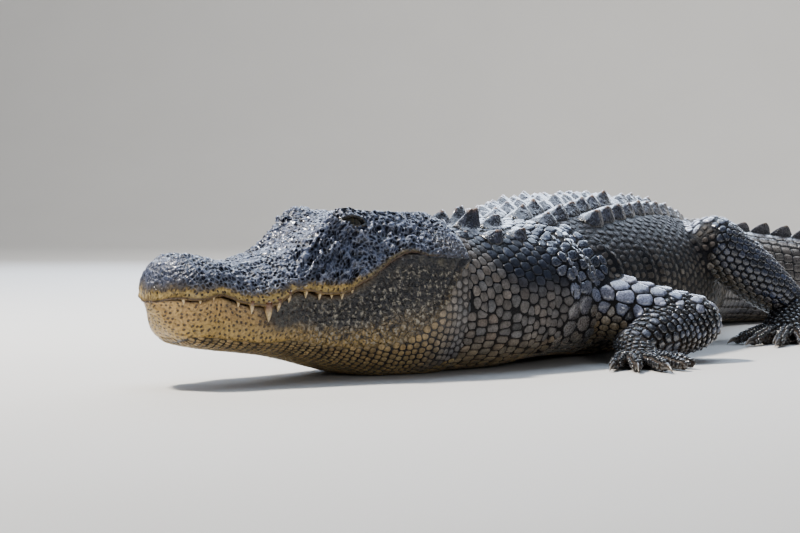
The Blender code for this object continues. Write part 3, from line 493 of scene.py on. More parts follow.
def make_body_skin():
    around = 96
    trunk = np.concatenate([
        neck_plug(around, SKIN_DEPTH),
        body_tube(0.0, SPINE_LENGTH - 0.002, 0.008, around, SKIN_DEPTH),
    ])
    tubes = [trunk]
    for leg in LEGS.values():
        tubes += [leg["upper"].rings(24, 40, -SKIN_DEPTH), leg["lower"].rings(24, 40, -SKIN_DEPTH)]
    return remesh(join_tubes("body_shells", tubes), BODY_VOXEL, 4)


def make_foot_skin(leg, share):
    tubes = [leg["palm"].rings(12, 32, -SKIN_DEPTH)]
    tubes += [tube.rings(14, 20, -0.001, False) for tube in leg["fingers"]]
    if share:
        tubes.append(web_rings(leg["end"], leg["heading"], leg["digits"], share, -0.001))
    return remesh(join_tubes("foot_shells", tubes), FOOT_VOXEL, 2)


# Folds of loose skin: from and to (spine place, angle in degrees), height and width in metres
SKIN_FOLDS = (
    ((0.16, 64.0), (0.15, 0.0), 0.0075, 0.0075), ((0.188, 60.0), (0.174, 6.0), 0.005, 0.006),
    ((0.174, 62.0), (0.162, 3.0), -0.004, 0.0045), ((0.214, 52.0), (0.204, 4.0), -0.0055, 0.008),
    ((0.13, 50.0), (0.126, -60.0), -0.003, 0.005), ((0.255, 40.0), (0.262, 0.0), 0.0035, 0.007),
    ((0.205, -4.0), (0.215, -60.0), -0.003, 0.006), ((0.355, 30.0), (0.372, -30.0), 0.0045, 0.007),
    ((0.392, 26.0), (0.404, -30.0), 0.003, 0.0065), ((0.905, 66.0), (0.965, 12.0), 0.006, 0.009),
    ((0.455, 22.0), (0.47, -42.0), -0.0018, 0.006), ((0.545, 18.0), (0.56, -42.0), -0.0018, 0.006),
    ((0.64, 20.0), (0.655, -42.0), -0.0018, 0.006), ((0.735, 20.0), (0.748, -42.0), -0.0018, 0.006),
    ((0.83, 24.0), (0.842, -40.0), -0.002, 0.006),
)


def press_folds(mesh):
    """Raises or sinks the trunk's skin along the folds, alike on both sides."""
    points, out = mesh_points(mesh), mesh_points(mesh, "normal")
    near = np.argmin(((points[:, None, :2] - SPINE_PLAN[None, ::4]) ** 2).sum(2), 1) * 4
    _, forward, left = spine_frame(SPINE_AT[near])
    offset = points[:, :2] - SPINE_PLAN[near]
    s = SPINE_AT[near] - (offset * forward).sum(1)
    across = np.abs((offset * left).sum(1))
    top, bottom = smooth(TOP_HEIGHT, s), smooth(BOTTOM_HEIGHT, s)
    centre = bottom + smooth(WIDEST_SHARE, s) * (top - bottom)
    reach = np.where(points[:, 2] > centre, top - centre, centre - bottom)
    angle = np.degrees(np.arctan2((points[:, 2] - centre) / reach, across / smooth(HALF_WIDTH, s)))
    rise = np.zeros(len(points))
    for (s0, a0), (s1, a1), height, width in SKIN_FOLDS:
        run = (angle - a0) / (a1 - a0)
        wave = 0.004 * np.sin(9.0 * run + 40.0 * s0)
        line = s0 + (s1 - s0) * run + wave
        rise += height * np.exp(-((s - line) / width) ** 2) * window(run, -0.15, 0.15, 0.85, 1.15)
    rise *= across < 1.1 * smooth(HALF_WIDTH, s)
    points += out * rise[:, None]
    mesh.vertices.foreach_set("co", np.ascontiguousarray(points, dtype=np.float32).ravel())
    mesh.update()
    print("folds pressed, up to", round(float(rise.max()) * 1000, 1), "mm")
    return mesh


BODY_MESH = press_folds(make_body_skin())
FOOT_MESHES = {key: make_foot_skin(leg, WEB_SHARE if key[0] == "hind" else 0.0)
               for key, leg in LEGS.items()}
print("body skin faces:", len(BODY_MESH.polygons))
print("foot skin faces:", [len(mesh.polygons) for mesh in FOOT_MESHES.values()])

# %% [markdown]
# The head is skin stretched over bone, so it has no plates to hide behind: its own surface
# must carry the forms. It is laid out as a grid. Rows run from the snout tip to the nape.
# Columns run from the middle of the top down to the upper lip, into the mouth and out again,
# and on round the lower jaw. The mouth is thus a real fold in one skin, as on the animal.
# %% Curves of the head
LIP_HALF_WIDTH = (
    (0.0, 0.034), (0.006, 0.06), (0.018, 0.086), (0.04, 0.11), (0.075, 0.13), (0.12, 0.14),
    (0.165, 0.139), (0.21, 0.15), (0.27, 0.175), (0.33, 0.187), (0.42, 0.188), (0.52, 0.194),
    (0.62, 0.21), (0.72, 0.236), (0.82, 0.262), (0.92, 0.282), (1.0, 0.288),
)
LIP_RISE = (
    (0.0, -0.012), (0.01, -0.003), (0.034, 0.0), (0.065, -0.005), (0.1, -0.004), (0.13, 0.005),
    (0.155, 0.006), (0.188, -0.003), (0.22, -0.016), (0.26, -0.024), (0.29, -0.027), (0.32, -0.022),
    (0.36, -0.004), (0.4, 0.014), (0.44, 0.014), (0.49, 0.003), (0.54, 0.001), (0.58, 0.007),
    (0.62, 0.028), (0.67, 0.052), (0.73, 0.098), (0.79, 0.122), (0.86, 0.108), (1.0, 0.1),
)
SNOUT_TOP = (
    (0.0, 0.05), (0.004, 0.062), (0.01, 0.074), (0.02, 0.088), (0.036, 0.102), (0.06, 0.112),
    (0.09, 0.117), (0.15, 0.116), (0.2, 0.105), (0.246, 0.094), (0.3, 0.096), (0.36, 0.108),
    (0.42, 0.124), (0.48, 0.146), (0.54, 0.177), (0.6, 0.205), (0.66, 0.226), (0.76, 0.239),
    (0.9, 0.241), (0.96, 0.235), (1.0, 0.216),
)
CHEEK_HALF_WIDTH = (
    (0.0, 0.036), (0.006, 0.062), (0.018, 0.088), (0.04, 0.111), (0.075, 0.129), (0.12, 0.138),
    (0.165, 0.137), (0.21, 0.146), (0.27, 0.167), (0.33, 0.176), (0.42, 0.176), (0.52, 0.183),
    (0.62, 0.199), (0.72, 0.222), (0.82, 0.244), (0.92, 0.258), (1.0, 0.268),
)
BROW_HALF_WIDTH = (
    (0.0, 0.024), (0.018, 0.064), (0.04, 0.084), (0.075, 0.098), (0.12, 0.104), (0.17, 0.108),
    (0.24, 0.118), (0.34, 0.124), (0.44, 0.127), (0.52, 0.137), (0.6, 0.158), (0.68, 0.174),
    (0.78, 0.184), (0.9, 0.194), (1.0, 0.208),
)
TABLE_HALF_WIDTH = (
    (0.0, 0.012), (0.018, 0.034), (0.04, 0.046), (0.075, 0.056), (0.12, 0.062), (0.17, 0.066),
    (0.3, 0.074), (0.44, 0.082), (0.52, 0.092), (0.6, 0.11), (0.68, 0.13), (0.78, 0.146),
    (0.88, 0.148), (1.0, 0.146),
)
JAW_DEPTH = (
    (0.0, -0.04), (0.01, -0.05), (0.02, -0.074), (0.035, -0.1), (0.06, -0.124),
    (0.1, -0.143), (0.2, -0.161), (0.3, -0.173), (0.42, -0.19), (0.54, -0.215), (0.66, -0.246),
    (0.78, -0.27), (1.0, -0.274),
)
JAW_BULGE = (
    (0.0, 0.6), (0.03, 0.77), (0.07, 0.9), (0.14, 0.98), (0.34, 1.015), (0.52, 1.03), (0.66, 1.06),
    (0.78, 1.11), (0.88, 1.12), (1.0, 1.06),
)
JAW_START = 0.01
JAW_INSET = 0.015
HEAD_LUMPS = (
    (0.1, 0.04, 0.05, 0.036, 0.008),
    (0.625, 0.114, 0.074, 0.042, 0.046),
    (0.53, 0.105, 0.05, 0.022, 0.01),
    (0.76, 0.13, 0.1, 0.022, 0.006),
)
EYE_PLACE = (0.645, 0.127, 0.203)
EYE_RADIUS = 0.015
EYE_LOOK = np.array((0.1, 0.9, 0.42)) / np.linalg.norm((0.1, 0.9, 0.42))
MOUTH_CORNER = 0.8
MOUTH_DEPTH = 0.012
MOUTH_GAP = 0.002
PROFILE_SHARES = (0.0, 0.3, 0.54, 0.78, 1.0)
UPPER_COLUMNS, MOUTH_COLUMNS, LOWER_COLUMNS = 104, 5, 60
HEAD_ROWS = 282


NAPE, HEAD_FORWARD, HEAD_LEFT = spine_frame(np.array(0.0))


def spread(low, high, count, crowd):
    """Numbers from low to high that lie closer together where crowd is large."""
    x = np.linspace(low, high, 4001)
    run = np.cumsum(crowd(x))
    return np.interp(np.linspace(run[0], run[-1], count), run, x)


def head_half(u, share):
    """Width and height shares of the upper head's side: 0 is the middle of the top, 1 the lip."""
    top, lip = smooth(SNOUT_TOP, u), smooth(LIP_RISE, u)
    tall = top - lip
    across = [0.0] + [smooth(table, u) for table in (
        TABLE_HALF_WIDTH, BROW_HALF_WIDTH, CHEEK_HALF_WIDTH, LIP_HALF_WIDTH)]
    heights = [top, top - 0.03 * tall, lip + 0.76 * tall, lip + 0.3 * tall, lip]
    v = smooth(list(zip(PROFILE_SHARES, across)), share)
    w = smooth(list(zip(PROFILE_SHARES, heights)), share)
    fade = np.clip((1.0 - share) / 0.35, 0.0, 1.0)
    for at, aside, length, width, rise in HEAD_LUMPS:
        bump = np.exp(-((u - at) / length) ** 2 - ((v - aside) / width) ** 2)
        w = w + rise * bump * fade
    return v, w


def jaw_half(u, share, inset):
    """Width and height shares of the lower jaw's side: 0 is the lip, 1 the middle of its underside."""
    lip = smooth(LIP_RISE, u) - MOUTH_GAP / HEAD_LENGTH * (1 - soft_step(0.76, 0.84, u))
    depth = lip - smooth(JAW_DEPTH, u)
    edge = smooth(LIP_HALF_WIDTH, u) - inset
    wide = (edge + inset - JAW_INSET) * smooth(JAW_BULGE, u)
    v = smooth(((0.0, edge), (0.3, wide), (0.62, 0.8 * wide), (0.82, 0.42 * wide), (1.0, 0.0)), share)
    w = lip - depth * smooth(((0.0, 0.0), (0.3, 0.4), (0.62, 0.84), (0.82, 0.98), (1.0, 1.0)), share)
    return v, np.maximum(w, -LIP_HEIGHT / HEAD_LENGTH + 0.0005)


HEAD_AT = spread(0.0, 1.0, HEAD_ROWS, lambda x: 1 + 5 * np.exp(-(x / 0.02) ** 2)
                 + 1.0 * np.exp(-((x - 0.64) / 0.07) ** 2))
UPPER_SHARE = spread(0.0, 1.0, UPPER_COLUMNS, lambda x: 1 + 0.9 * np.exp(-((x - 0.5) / 0.13) ** 2)
                     + 0.9 * np.exp(-((x - 1.0) / 0.06) ** 2))
LOWER_SHARE = spread(0.0, 1.0, LOWER_COLUMNS, lambda x: 1 + 1.0 * np.exp(-(x / 0.08) ** 2))


def head_row(u):
    """One row of the left half: distances ahead of the nape, to the left and above the lip."""
    inset = JAW_INSET * (1 - soft_step(0.74, 0.84, u))
    v_up, w_up = head_half(u, UPPER_SHARE)
    u_jaw = JAW_START + u * (1 - JAW_START)
    v_low, w_low = jaw_half(u_jaw, LOWER_SHARE, inset)
    open_share = (1 - soft_step(MOUTH_CORNER - 0.06, MOUTH_CORNER + 0.02, u))
    deep = (MOUTH_DEPTH * open_share + 0.0012 * (1 - open_share) * (1 - soft_step(0.84, 0.94, u)))
    deep /= HEAD_LENGTH
    reach = np.array([0.25, 0.65, 1.0, 0.65, 0.25])[:MOUTH_COLUMNS]
    up_share = np.array([1.0, 1.0, 0.5, 0.0, 0.0])
    v_in = (v_up[-1] * up_share + v_low[0] * (1 - up_share)) - deep * reach
    w_in = w_up[-1] * up_share + w_low[0] * (1 - up_share)
    back = deep * reach * math.exp(-(u / 0.03) ** 2)
    v = np.concatenate([v_up, np.maximum(v_in, 0.004), v_low])
    w = np.concatenate([w_up, w_in, w_low])
    at = np.concatenate([np.full(UPPER_COLUMNS, u), u + back, np.full(LOWER_COLUMNS, u_jaw)])
    return np.stack([(1 - at) * HEAD_LENGTH, v * HEAD_LENGTH, w * HEAD_LENGTH], -1)


HALF_HEAD = np.array([head_row(u) for u in HEAD_AT])
ROW_U = np.repeat(HEAD_AT[:, None], HALF_HEAD.shape[1], 1)
LIP_COLUMN = UPPER_COLUMNS - 1
JAW_COLUMN = UPPER_COLUMNS + MOUTH_COLUMNS
print("grid of half the head:", HALF_HEAD.shape[:2])

# %% [markdown]
# Forms that are alike on both sides are pressed into the left half first: the lids round the
# eyeball, the heavy ridge over the eye, the folds below it, the nostril on its boss, the slit
# of the ear under the edge of the skull table, and the ridges that run down the snout.
# Each one is a soft hill or groove, an exponential of the distance from its own line.
# %% Shape the left half of the head
LID_THICKNESS = 0.0026
LID_OPENING = (0.0152, 0.006)
LID_TILT = 0.1
EYE_LONG = 1.22
LID_BLEND = 0.003
EYE_CENTRE = np.array((1 - EYE_PLACE[0], EYE_PLACE[1], EYE_PLACE[2])) * HEAD_LENGTH
EYE_AHEAD = np.cross(EYE_LOOK, (0.0, 0.0, 1.0))
EYE_AHEAD /= np.linalg.norm(EYE_AHEAD)
EYE_UP = np.cross(EYE_LOOK, EYE_AHEAD)


def grid_normals(grid):
    """Outward directions of a half grid, from the differences of its rows and columns."""
    return unit(np.cross(np.gradient(grid, axis=1), np.gradient(grid, axis=0)))


def hill(distance, width, power=2.0):
    return np.exp(-np.abs(distance / width) ** power)


def line_place(grid, start, end):
    """Distances along and beside the line from start to end, and above it."""
    start, end = np.array(start), np.array(end)
    length = np.linalg.norm(end - start)
    along = (end - start) / length
    offset = grid - start
    run = offset @ along
    up = np.array((0.0, 0.0, 1.0)) - along * along[2]
    up /= np.linalg.norm(up)
    return run / length, offset @ np.cross(along, up), offset @ up


def lid_opening(x, y):
    """1 on the rim of the almond between the lids, less inside it."""
    tall = np.where(y > 0, LID_OPENING[1], 0.8 * LID_OPENING[1])
    return (np.abs(x / LID_OPENING[0]) ** 1.7 + np.abs(y / tall) ** 1.4) ** (1 / 1.5)


def brow_line(x):
    """Height of the brow ridge over the eye: it arches back from the front corner."""
    return 0.015 - 25.0 * (x + 0.004) ** 2


def shape_eye(grid):
    """Lids over the eyeball, an almond opening, the brow ridge and the folds below."""
    offset = grid - EYE_CENTRE
    x, y, z = offset @ EYE_AHEAD, offset @ EYE_UP, offset @ EYE_LOOK
    y = y + LID_TILT * x
    far = np.hypot(x / EYE_LONG, y)
    near = soft_step(-0.016, -0.01, z)
    ball = np.sqrt(np.maximum(EYE_RADIUS ** 2 - far ** 2, 0.0))
    outside = EYE_RADIUS + LID_THICKNESS
    lid = np.sqrt(np.maximum(outside ** 2 - (x / (EYE_LONG * 1.05)) ** 2 - y ** 2, 0.0))
    lid = np.where(far < outside, lid, -0.02)
    h = np.clip(0.5 + 0.5 * (z - lid) / LID_BLEND, 0.0, 1.0)
    merged = lid * (1 - h) + z * h + LID_BLEND * h * (1 - h) * 0.5
    opening = lid_opening(x, y)
    inside = 1 - soft_step(0.84, 1.04, opening)
    shaped = np.where(far < 0.024, merged, z)
    shaped = shaped * (1 - inside) + (ball - 0.0052) * inside
    reach = near * (far < 0.03)
    arch = brow_line(x)
    brow = 0.0078 * hill(y - arch, 0.004) * window(x, -0.03, -0.018, 0.022, 0.03)
    brow -= 0.0026 * hill(y - arch + 0.0048, 0.0016) * window(x, -0.024, -0.014, 0.018, 0.024)
    rim = 0.0012 * hill(opening - 1.2, 0.12) * hill(x, 0.024, 4)
    under = 0.001 * np.cos((far - 0.01) * 2 * math.pi / 0.0036) * soft_step(0.008, 0.011, far)
    under = under * (1 - soft_step(0.02, 0.028, far)) * soft_step(0.002, -0.005, y)
    change = (shaped - z) * reach + (brow + rim + under) * near * (1 - inside)
    return grid + change[..., None] * EYE_LOOK


# Folds by the eye: from and to (distance behind the tip, height), then height and width in metres
EYE_FOLDS = (
    ((0.455, 0.062), (0.585, 0.16), 0.0046, 0.004), ((0.5, 0.045), (0.6, 0.12), 0.0036, 0.0034),
    ((0.43, 0.078), (0.545, 0.168), 0.0038, 0.0036), ((0.52, 0.03), (0.64, 0.105), 0.003, 0.0034),
    ((0.478, 0.058), (0.59, 0.14), -0.0034, 0.0026), ((0.512, 0.034), (0.62, 0.112), -0.0028, 0.0024),
    ((0.44, 0.105), (0.56, 0.05), -0.0016, 0.003), ((0.53, 0.15), (0.6, 0.07), 0.0018, 0.0034),
    ((0.59, 0.085), (0.68, 0.1), 0.0018, 0.004), ((0.42, 0.02), (0.52, 0.06), 0.0014, 0.0036),
)
# Upper teeth that show: distance behind the tip, and length in metres
TEETH = (
    (0.04, 0.007), (0.085, 0.005), (0.128, 0.005), (0.21, 0.007), (0.247, 0.011), (0.295, 0.019),
    (0.332, 0.011), (0.37, 0.009), (0.433, 0.009), (0.485, 0.008), (0.527, 0.006), (0.565, 0.008),
    (0.6, 0.006),
)
# Lower edge of the bare cheek
CHEEK_EDGE = (
    (0.0, 1.2), (0.045, 1.0), (0.07, 0.62), (0.1, 0.56), (0.3, 0.52), (0.76, 0.5), (0.84, 0.42),
    (0.9, 0.3), (0.96, 0.12), (1.0, 0.04),
)
NOSTRIL = (0.088, 0.034)
NOSTRIL_TURN = math.radians(21)


def shape_half(grid):
    """All the paired forms of the head, one after another."""
    grid = shape_eye(grid)
    normal = grid_normals(grid)
    u, share = ROW_U, np.zeros_like(ROW_U)
    share[:, :UPPER_COLUMNS] = UPPER_SHARE
    share[:, UPPER_COLUMNS:] = 1.0
    upper = np.zeros_like(ROW_U)
    upper[:, :UPPER_COLUMNS] = 1.0
    x, y = grid[..., 0], grid[..., 1]
    v, w = y / HEAD_LENGTH, grid[..., 2] / HEAD_LENGTH
    rise = np.zeros_like(u)

    # Nostril: a crescent slit on its boss, with a raised rim
    at_x, at_y = (1 - NOSTRIL[0]) * HEAD_LENGTH, NOSTRIL[1] * HEAD_LENGTH
    c, q = math.cos(NOSTRIL_TURN), math.sin(NOSTRIL_TURN)
    a = (x - at_x) * c + (y - at_y) * q
    b = -(x - at_x) * q + (y - at_y) * c - 8.0 * a ** 2
    slit = hill(a, 0.0078, 4) * hill(b, 0.0022)
    rise += upper * (-0.0062 * slit + 0.0018 * hill(np.hypot(a / 1.35, b) - 0.0075, 0.0026))

    # Ear: a long slit under the edge of the skull table, with a flap that overhangs it
    run, _, above = line_place(grid, ((1 - 0.715) * HEAD_LENGTH, 0, 0.197 * HEAD_LENGTH),
                               ((1 - 0.845) * HEAD_LENGTH, 0, 0.176 * HEAD_LENGTH))
    long = window(run, -0.08, 0.05, 0.92, 1.1) * upper * (v > 0.12)
    rise += long * (-0.0042 * hill(above, 0.0018) + 0.002 * hill(above - 0.0046, 0.0026))

    # Edge of the skull table and the low ridges of the snout
    table = np.interp(u, *np.array(TABLE_HALF_WIDTH).T)
    rise += upper * 0.0026 * hill(v - table, 0.01) * window(u, 0.68, 0.76, 0.93, 0.99)
    rise -= upper * 0.0022 * hill(v, 0.055) * window(u, 0.72, 0.8, 0.93, 0.99)
    canthus = 0.058 + 0.062 * soft_step(0.2, 0.56, u)
    rise += upper * 0.0022 * hill(v - canthus, 0.013) * window(u, 0.16, 0.3, 0.54, 0.6)
    rise -= upper * 0.0016 * hill(v - canthus + 0.03, 0.012) * window(u, 0.22, 0.36, 0.56, 0.62)
    rise += upper * 0.0016 * hill(v, 0.012) * window(u, 0.2, 0.3, 0.5, 0.6)

    # Oblique folds before and behind the eye
    for start, end, height, width in EYE_FOLDS:
        du, dw = end[0] - start[0], end[1] - start[1]
        length = math.hypot(du, dw)
        run = ((u - start[0]) * du + (w - start[1]) * dw) / length ** 2
        off = ((u - start[0]) * dw - (w - start[1]) * du) / length * HEAD_LENGTH
        rise += upper * height * hill(off, width) * window(run, -0.15, 0.2, 0.8, 1.15)

    # Rounded lips, swollen over the longest teeth, and the crease of the mouth corner
    lip = hill(1 - share, 0.075) * upper * (1 - soft_step(0.72, 0.82, u))
    rise += 0.0011 * lip
    for tooth, length in TEETH:
        rise += 0.1 * length * hill(1 - share, 0.16) * upper * hill(u - tooth, 0.014)
    low = np.zeros_like(u)
    low[:, JAW_COLUMN:] = LOWER_SHARE
    jaw = 1 - upper
    jaw[:, UPPER_COLUMNS:JAW_COLUMN] = 0.0
    rise += jaw * 0.001 * hill(low - 0.05, 0.05) * (1 - soft_step(0.7, 0.8, u))
    rise += jaw * 0.0024 * hill(low - 0.52, 0.07) * window(u, 0.05, 0.12, 0.8, 0.9)
    edge = low - smooth(CHEEK_EDGE, u)
    crease = 0.0014 * hill(edge + 0.035, 0.022) - 0.0016 * hill(edge + 0.085, 0.022)
    rise += jaw * crease * soft_step(0.8, 0.88, u)
    return grid + normal * rise[..., None]


SHAPED_HALF = shape_half(HALF_HEAD)
largest = float(np.abs(SHAPED_HALF - HALF_HEAD).max())
print("largest change by the paired forms:", round(largest * 1000, 1), "mm")

# %% [markdown]
# Now the two halves are joined into one closed grid and set in place. The front is rounded
# off by shrinking rings, and the rear rings dive into the neck, where neck scales cover them.
# Then comes what is never alike on two sides: the hide's own relief. Voronoi cells give the
# close, cracked lumps of hide on bone. Ridged noise gives wrinkles. Each is held back by a
# mask, because the lips and the cheek are far smoother than the top of the snout.
# %% Whole head
rng = np.random.default_rng(1904)
COLUMNS = HALF_HEAD.shape[1]
FRONT_TILTS = np.radians((84, 68, 50, 32, 15))
REAR_RINGS = ((0.0015, 0.99), (0.004, 0.965), (0.009, 0.92), (0.016, 0.84))
EXTRA_FRONT, EXTRA_REAR = len(FRONT_TILTS), len(REAR_RINGS)


def end_rows(half):
    """Rounded rows before the first row and sunk rows behind the last."""
    first, last = half[0].copy(), half[-1].copy()
    lip = first[LIP_COLUMN, 2]
    front = []
    for tilt in FRONT_TILTS:
        ring = first.copy()
        ring[:, 1] *= math.cos(tilt)
        ring[:, 2] = lip + (first[:, 2] - lip) * math.cos(tilt)
        ring[:, 0] += 0.0042 * math.sin(tilt)
        front.append(ring)
    rear = []
    middle = np.array((0.0, 0.0, 0.085 * HEAD_LENGTH))
    for back, share in REAR_RINGS:
        ring = middle + (last - middle) * share
        ring[:, 0] = -back
        rear.append(ring)
    return np.concatenate([front, half, rear])


def to_world(grid):
    plan = NAPE + grid[..., :1] * HEAD_FORWARD + grid[..., 1:2] * HEAD_LEFT
    return np.concatenate([plan, grid[..., 2:] + LIP_HEIGHT], -1)


def head_faces(rows):
    """Quads of the closed head grid, with a ladder of quads over its front and rear rings."""
    around = 2 * (COLUMNS - 1)
    faces = ring_quads(rows, around)
    for row, flip in ((0, -1), (rows - 1, 1)):
        first = row * around
        left = [first + j for j in range(COLUMNS)]
        right = [first] + [first + around - j for j in range(1, COLUMNS - 1)] + [left[-1]]
        faces.append((left[0], left[1], right[1])[::flip])
        for j in range(1, COLUMNS - 2):
            faces.append((left[j], left[j + 1], right[j + 1], right[j])[::flip])
        faces.append((left[-2], left[-1], right[-2])[::flip])
    return faces


FULL_HALF = end_rows(SHAPED_HALF)
FULL_HALF[:, 0, 1] = 0.0
FULL_HALF[:, -1, 1] = 0.0
MIRRORED = FULL_HALF[:, -2:0:-1] * np.array((1.0, -1.0, 1.0))
HEAD_GRID = to_world(np.concatenate([FULL_HALF, MIRRORED], 1))
ROWS, AROUND = HEAD_GRID.shape[:2]
U_FULL = np.concatenate([np.zeros(EXTRA_FRONT), HEAD_AT, np.ones(EXTRA_REAR)])
COLUMN_SIDE = np.concatenate([np.arange(COLUMNS), np.arange(COLUMNS - 2, 0, -1)])
UPPER_AT = np.concatenate([UPPER_SHARE, np.full(COLUMNS - UPPER_COLUMNS, 2.0)])[COLUMN_SIDE]
LOWER_AT = np.concatenate([np.full(JAW_COLUMN, -1.0), LOWER_SHARE])[COLUMN_SIDE]
IN_MOUTH = (COLUMN_SIDE >= UPPER_COLUMNS) & (COLUMN_SIDE < JAW_COLUMN)


def ring_normals(grid):
    """Outward directions of a grid whose columns close into rings."""
    down = np.roll(grid, -1, 1) - np.roll(grid, 1, 1)
    return unit(np.cross(down, np.gradient(grid, axis=0)))


U_GRID = np.repeat(U_FULL[:, None], AROUND, 1)
UP_GRID = np.repeat(UPPER_AT[None, :], ROWS, 0)
LOW_GRID = np.repeat(LOWER_AT[None, :], ROWS, 0)
LIP_LEVEL = LIP_HEIGHT + smooth(LIP_RISE, U_GRID) * HEAD_LENGTH
ABOVE_LIP = HEAD_GRID[..., 2] - LIP_LEVEL
IS_UPPER = UP_GRID <= 1.0
IS_LOWER = LOW_GRID >= 0.0


def eye_place(side):
    u, v, w = EYE_PLACE
    plan = NAPE + (HEAD_FORWARD * (1 - u) + HEAD_LEFT * (side * v)) * HEAD_LENGTH
    return np.array((*plan, LIP_HEIGHT + w * HEAD_LENGTH))


EYE_FAR = np.minimum(*(np.linalg.norm(HEAD_GRID - eye_place(side), axis=-1) for side in (1, -1)))
CREAM_WIDTH = (
    (0.0, 0.013), (0.1, 0.01), (0.22, 0.0085), (0.3, 0.012), (0.42, 0.009), (0.52, 0.011),
    (0.64, 0.006), (0.75, 0.0042), (0.85, 0.003), (1.0, 0.001),
)
CREAM_BAND = smooth(CREAM_WIDTH, U_GRID)
JAW_EDGE = smooth(CHEEK_EDGE, U_GRID)


def eye_view(points):
    """Distances along, across and out from the nearer eye, for points of the whole head."""
    offset = points[..., :2] - NAPE
    places = offset @ HEAD_FORWARD, np.abs(offset @ HEAD_LEFT), points[..., 2] - LIP_HEIGHT
    local = np.stack(places, -1) - EYE_CENTRE
    x, y = local @ EYE_AHEAD, local @ EYE_UP
    return x, y + LID_TILT * x, local @ EYE_LOOK


EYE_X, EYE_Y, EYE_Z = eye_view(HEAD_GRID)
LID = np.where((EYE_FAR < 0.032) & (EYE_Z > 0.0), lid_opening(EYE_X, EYE_Y), 9.0)
BAND = ABOVE_LIP / CREAM_BAND
LOW_SHARE = LOW_GRID / np.maximum(JAW_EDGE, 0.02)
ROUGH = IS_UPPER * soft_step(0.7, 1.7, BAND) * soft_step(1.12, 1.4, LID)
ROUGH = ROUGH * (1 - 0.5 * soft_step(0.8, 0.9, U_GRID) * (UP_GRID > 0.62))
CHEEK = IS_LOWER * (1 - soft_step(0.9, 1.1, LOW_SHARE))


def hide_relief():
    """Height in metres of the lumps and wrinkles of the hide on bone, at every point."""
    snout_end = 1 - 0.6 * hill(U_GRID, 0.1)
    front_folds = window(U_GRID, 0.38, 0.46, 0.6, 0.68) * (UP_GRID > 0.25)
    behind = window(U_GRID, 0.66, 0.74, 0.86, 0.94) * (UP_GRID > 0.4)
    w = (HEAD_GRID[..., 2] - LIP_HEIGHT) / HEAD_LENGTH
    height = np.zeros(HEAD_GRID.shape[:2])
    for i in range(ROWS):
        for j in range(AROUND):
            if IN_MOUTH[j]:
                continue
            p = Vector(HEAD_GRID[i, j])
            strong, low = ROUGH[i, j], CHEEK[i, j]
            if strong > 0.01:
                near = noise.voronoi((p + noise.noise_vector(p * 70.0) * 0.003) / 0.0092)[0]
                lump = min((near[1] - near[0]) / 0.34, 1.0)
                wave = 1.0 - abs(noise.noise(p * 105.0)) * 2.4
                fine = noise.noise(p * 260.0)
                side = 1.0 if j < COLUMNS else -1.0
                across = (U_GRID[i, j] * 0.66 - w[i, j] * 0.75) * HEAD_LENGTH * 200.0
                along = (U_GRID[i, j] * 0.75 + w[i, j] * 0.66) * HEAD_LENGTH * 55.0
                streak = 1.0 - abs(noise.noise(Vector((across, along, side * 9.0)))) * 2.8
                lumps = 0.0013 * (lump - 0.5) + 0.0012 * (wave - 0.4) + 0.0008 * fine
                folds = 0.0038 * front_folds[i, j] * (streak - 0.4) + 0.0014 * behind[i, j] * (wave - 0.4)
                height[i, j] = strong * (snout_end[i, j] * lumps + folds)
            elif low > 0.01:
                near = noise.voronoi((p + noise.noise_vector(p * 90.0) * 0.0022) / 0.0085)[0]
                lump = 0.0004 * min((near[1] - near[0]) / 0.14, 1.0)
                height[i, j] = low * (lump + 0.0003 * noise.noise(p * 200.0))
            elif IS_UPPER[i, j] and LID[i, j] > 1.0:
                height[i, j] = 0.00025 * noise.noise(p * 380.0)
    return height


RELIEF = hide_relief()
HEAD_GRID = HEAD_GRID + ring_normals(HEAD_GRID) * RELIEF[..., None]
HEAD_GRID[..., 2] = np.maximum(HEAD_GRID[..., 2], 0.0012)
print("relief of the hide:", [round(float(k) * 1000, 2) for k in (RELIEF.min(), RELIEF.max())], "mm")

# %% [markdown]
# Markings of the head: blue-black above, with a painted highlight on the crests and painted
# shade in the hollows, a cream band along the upper lip, a cream chin that turns grey along
# the jaw, a yellowish lower edge, and a mottled grey cheek. Painted shade also lines the mouth,
# the gaps round the eyes, the crease of the cheek and the jaw under each upper tooth. Each
# colour is mixed in by a soft step of a distance from lip or snout.
# %% Markings of the head
INK = srgb(14, 15, 21)
SLATE = srgb(36, 40, 56)
STEEL = srgb(98, 110, 144)
CREAM = srgb(196, 170, 108)
TAN = srgb(168, 137, 68)
WARM_GREY = srgb(94, 82, 62)
# A dark umber, used only as painted shade inside the closed mouth.
MOUTH_SHADE = srgb(38, 28, 22)


def mix(a, b, share):
    share = np.clip(np.asarray(share, float), 0.0, 1.0)[..., None]
    return a * (1 - share) + b * share


def paint(tint, *coats):
    """The tint with further colours laid over it, each a pair of a colour and its share."""
    for colour, share in coats:
        tint = mix(tint, colour, share)
    return tint


def mottle(points, scale, seed):
    """Soft random numbers from about -1 to 1 at the points."""
    shift = Vector((seed * 7.1, seed * 3.3, seed * 1.7))
    return np.array([noise.fractal(Vector(p) * scale + shift, 0.9, 2.1, 3) for p in points.reshape(-1, 3)]
                    ).reshape(points.shape[:-1])


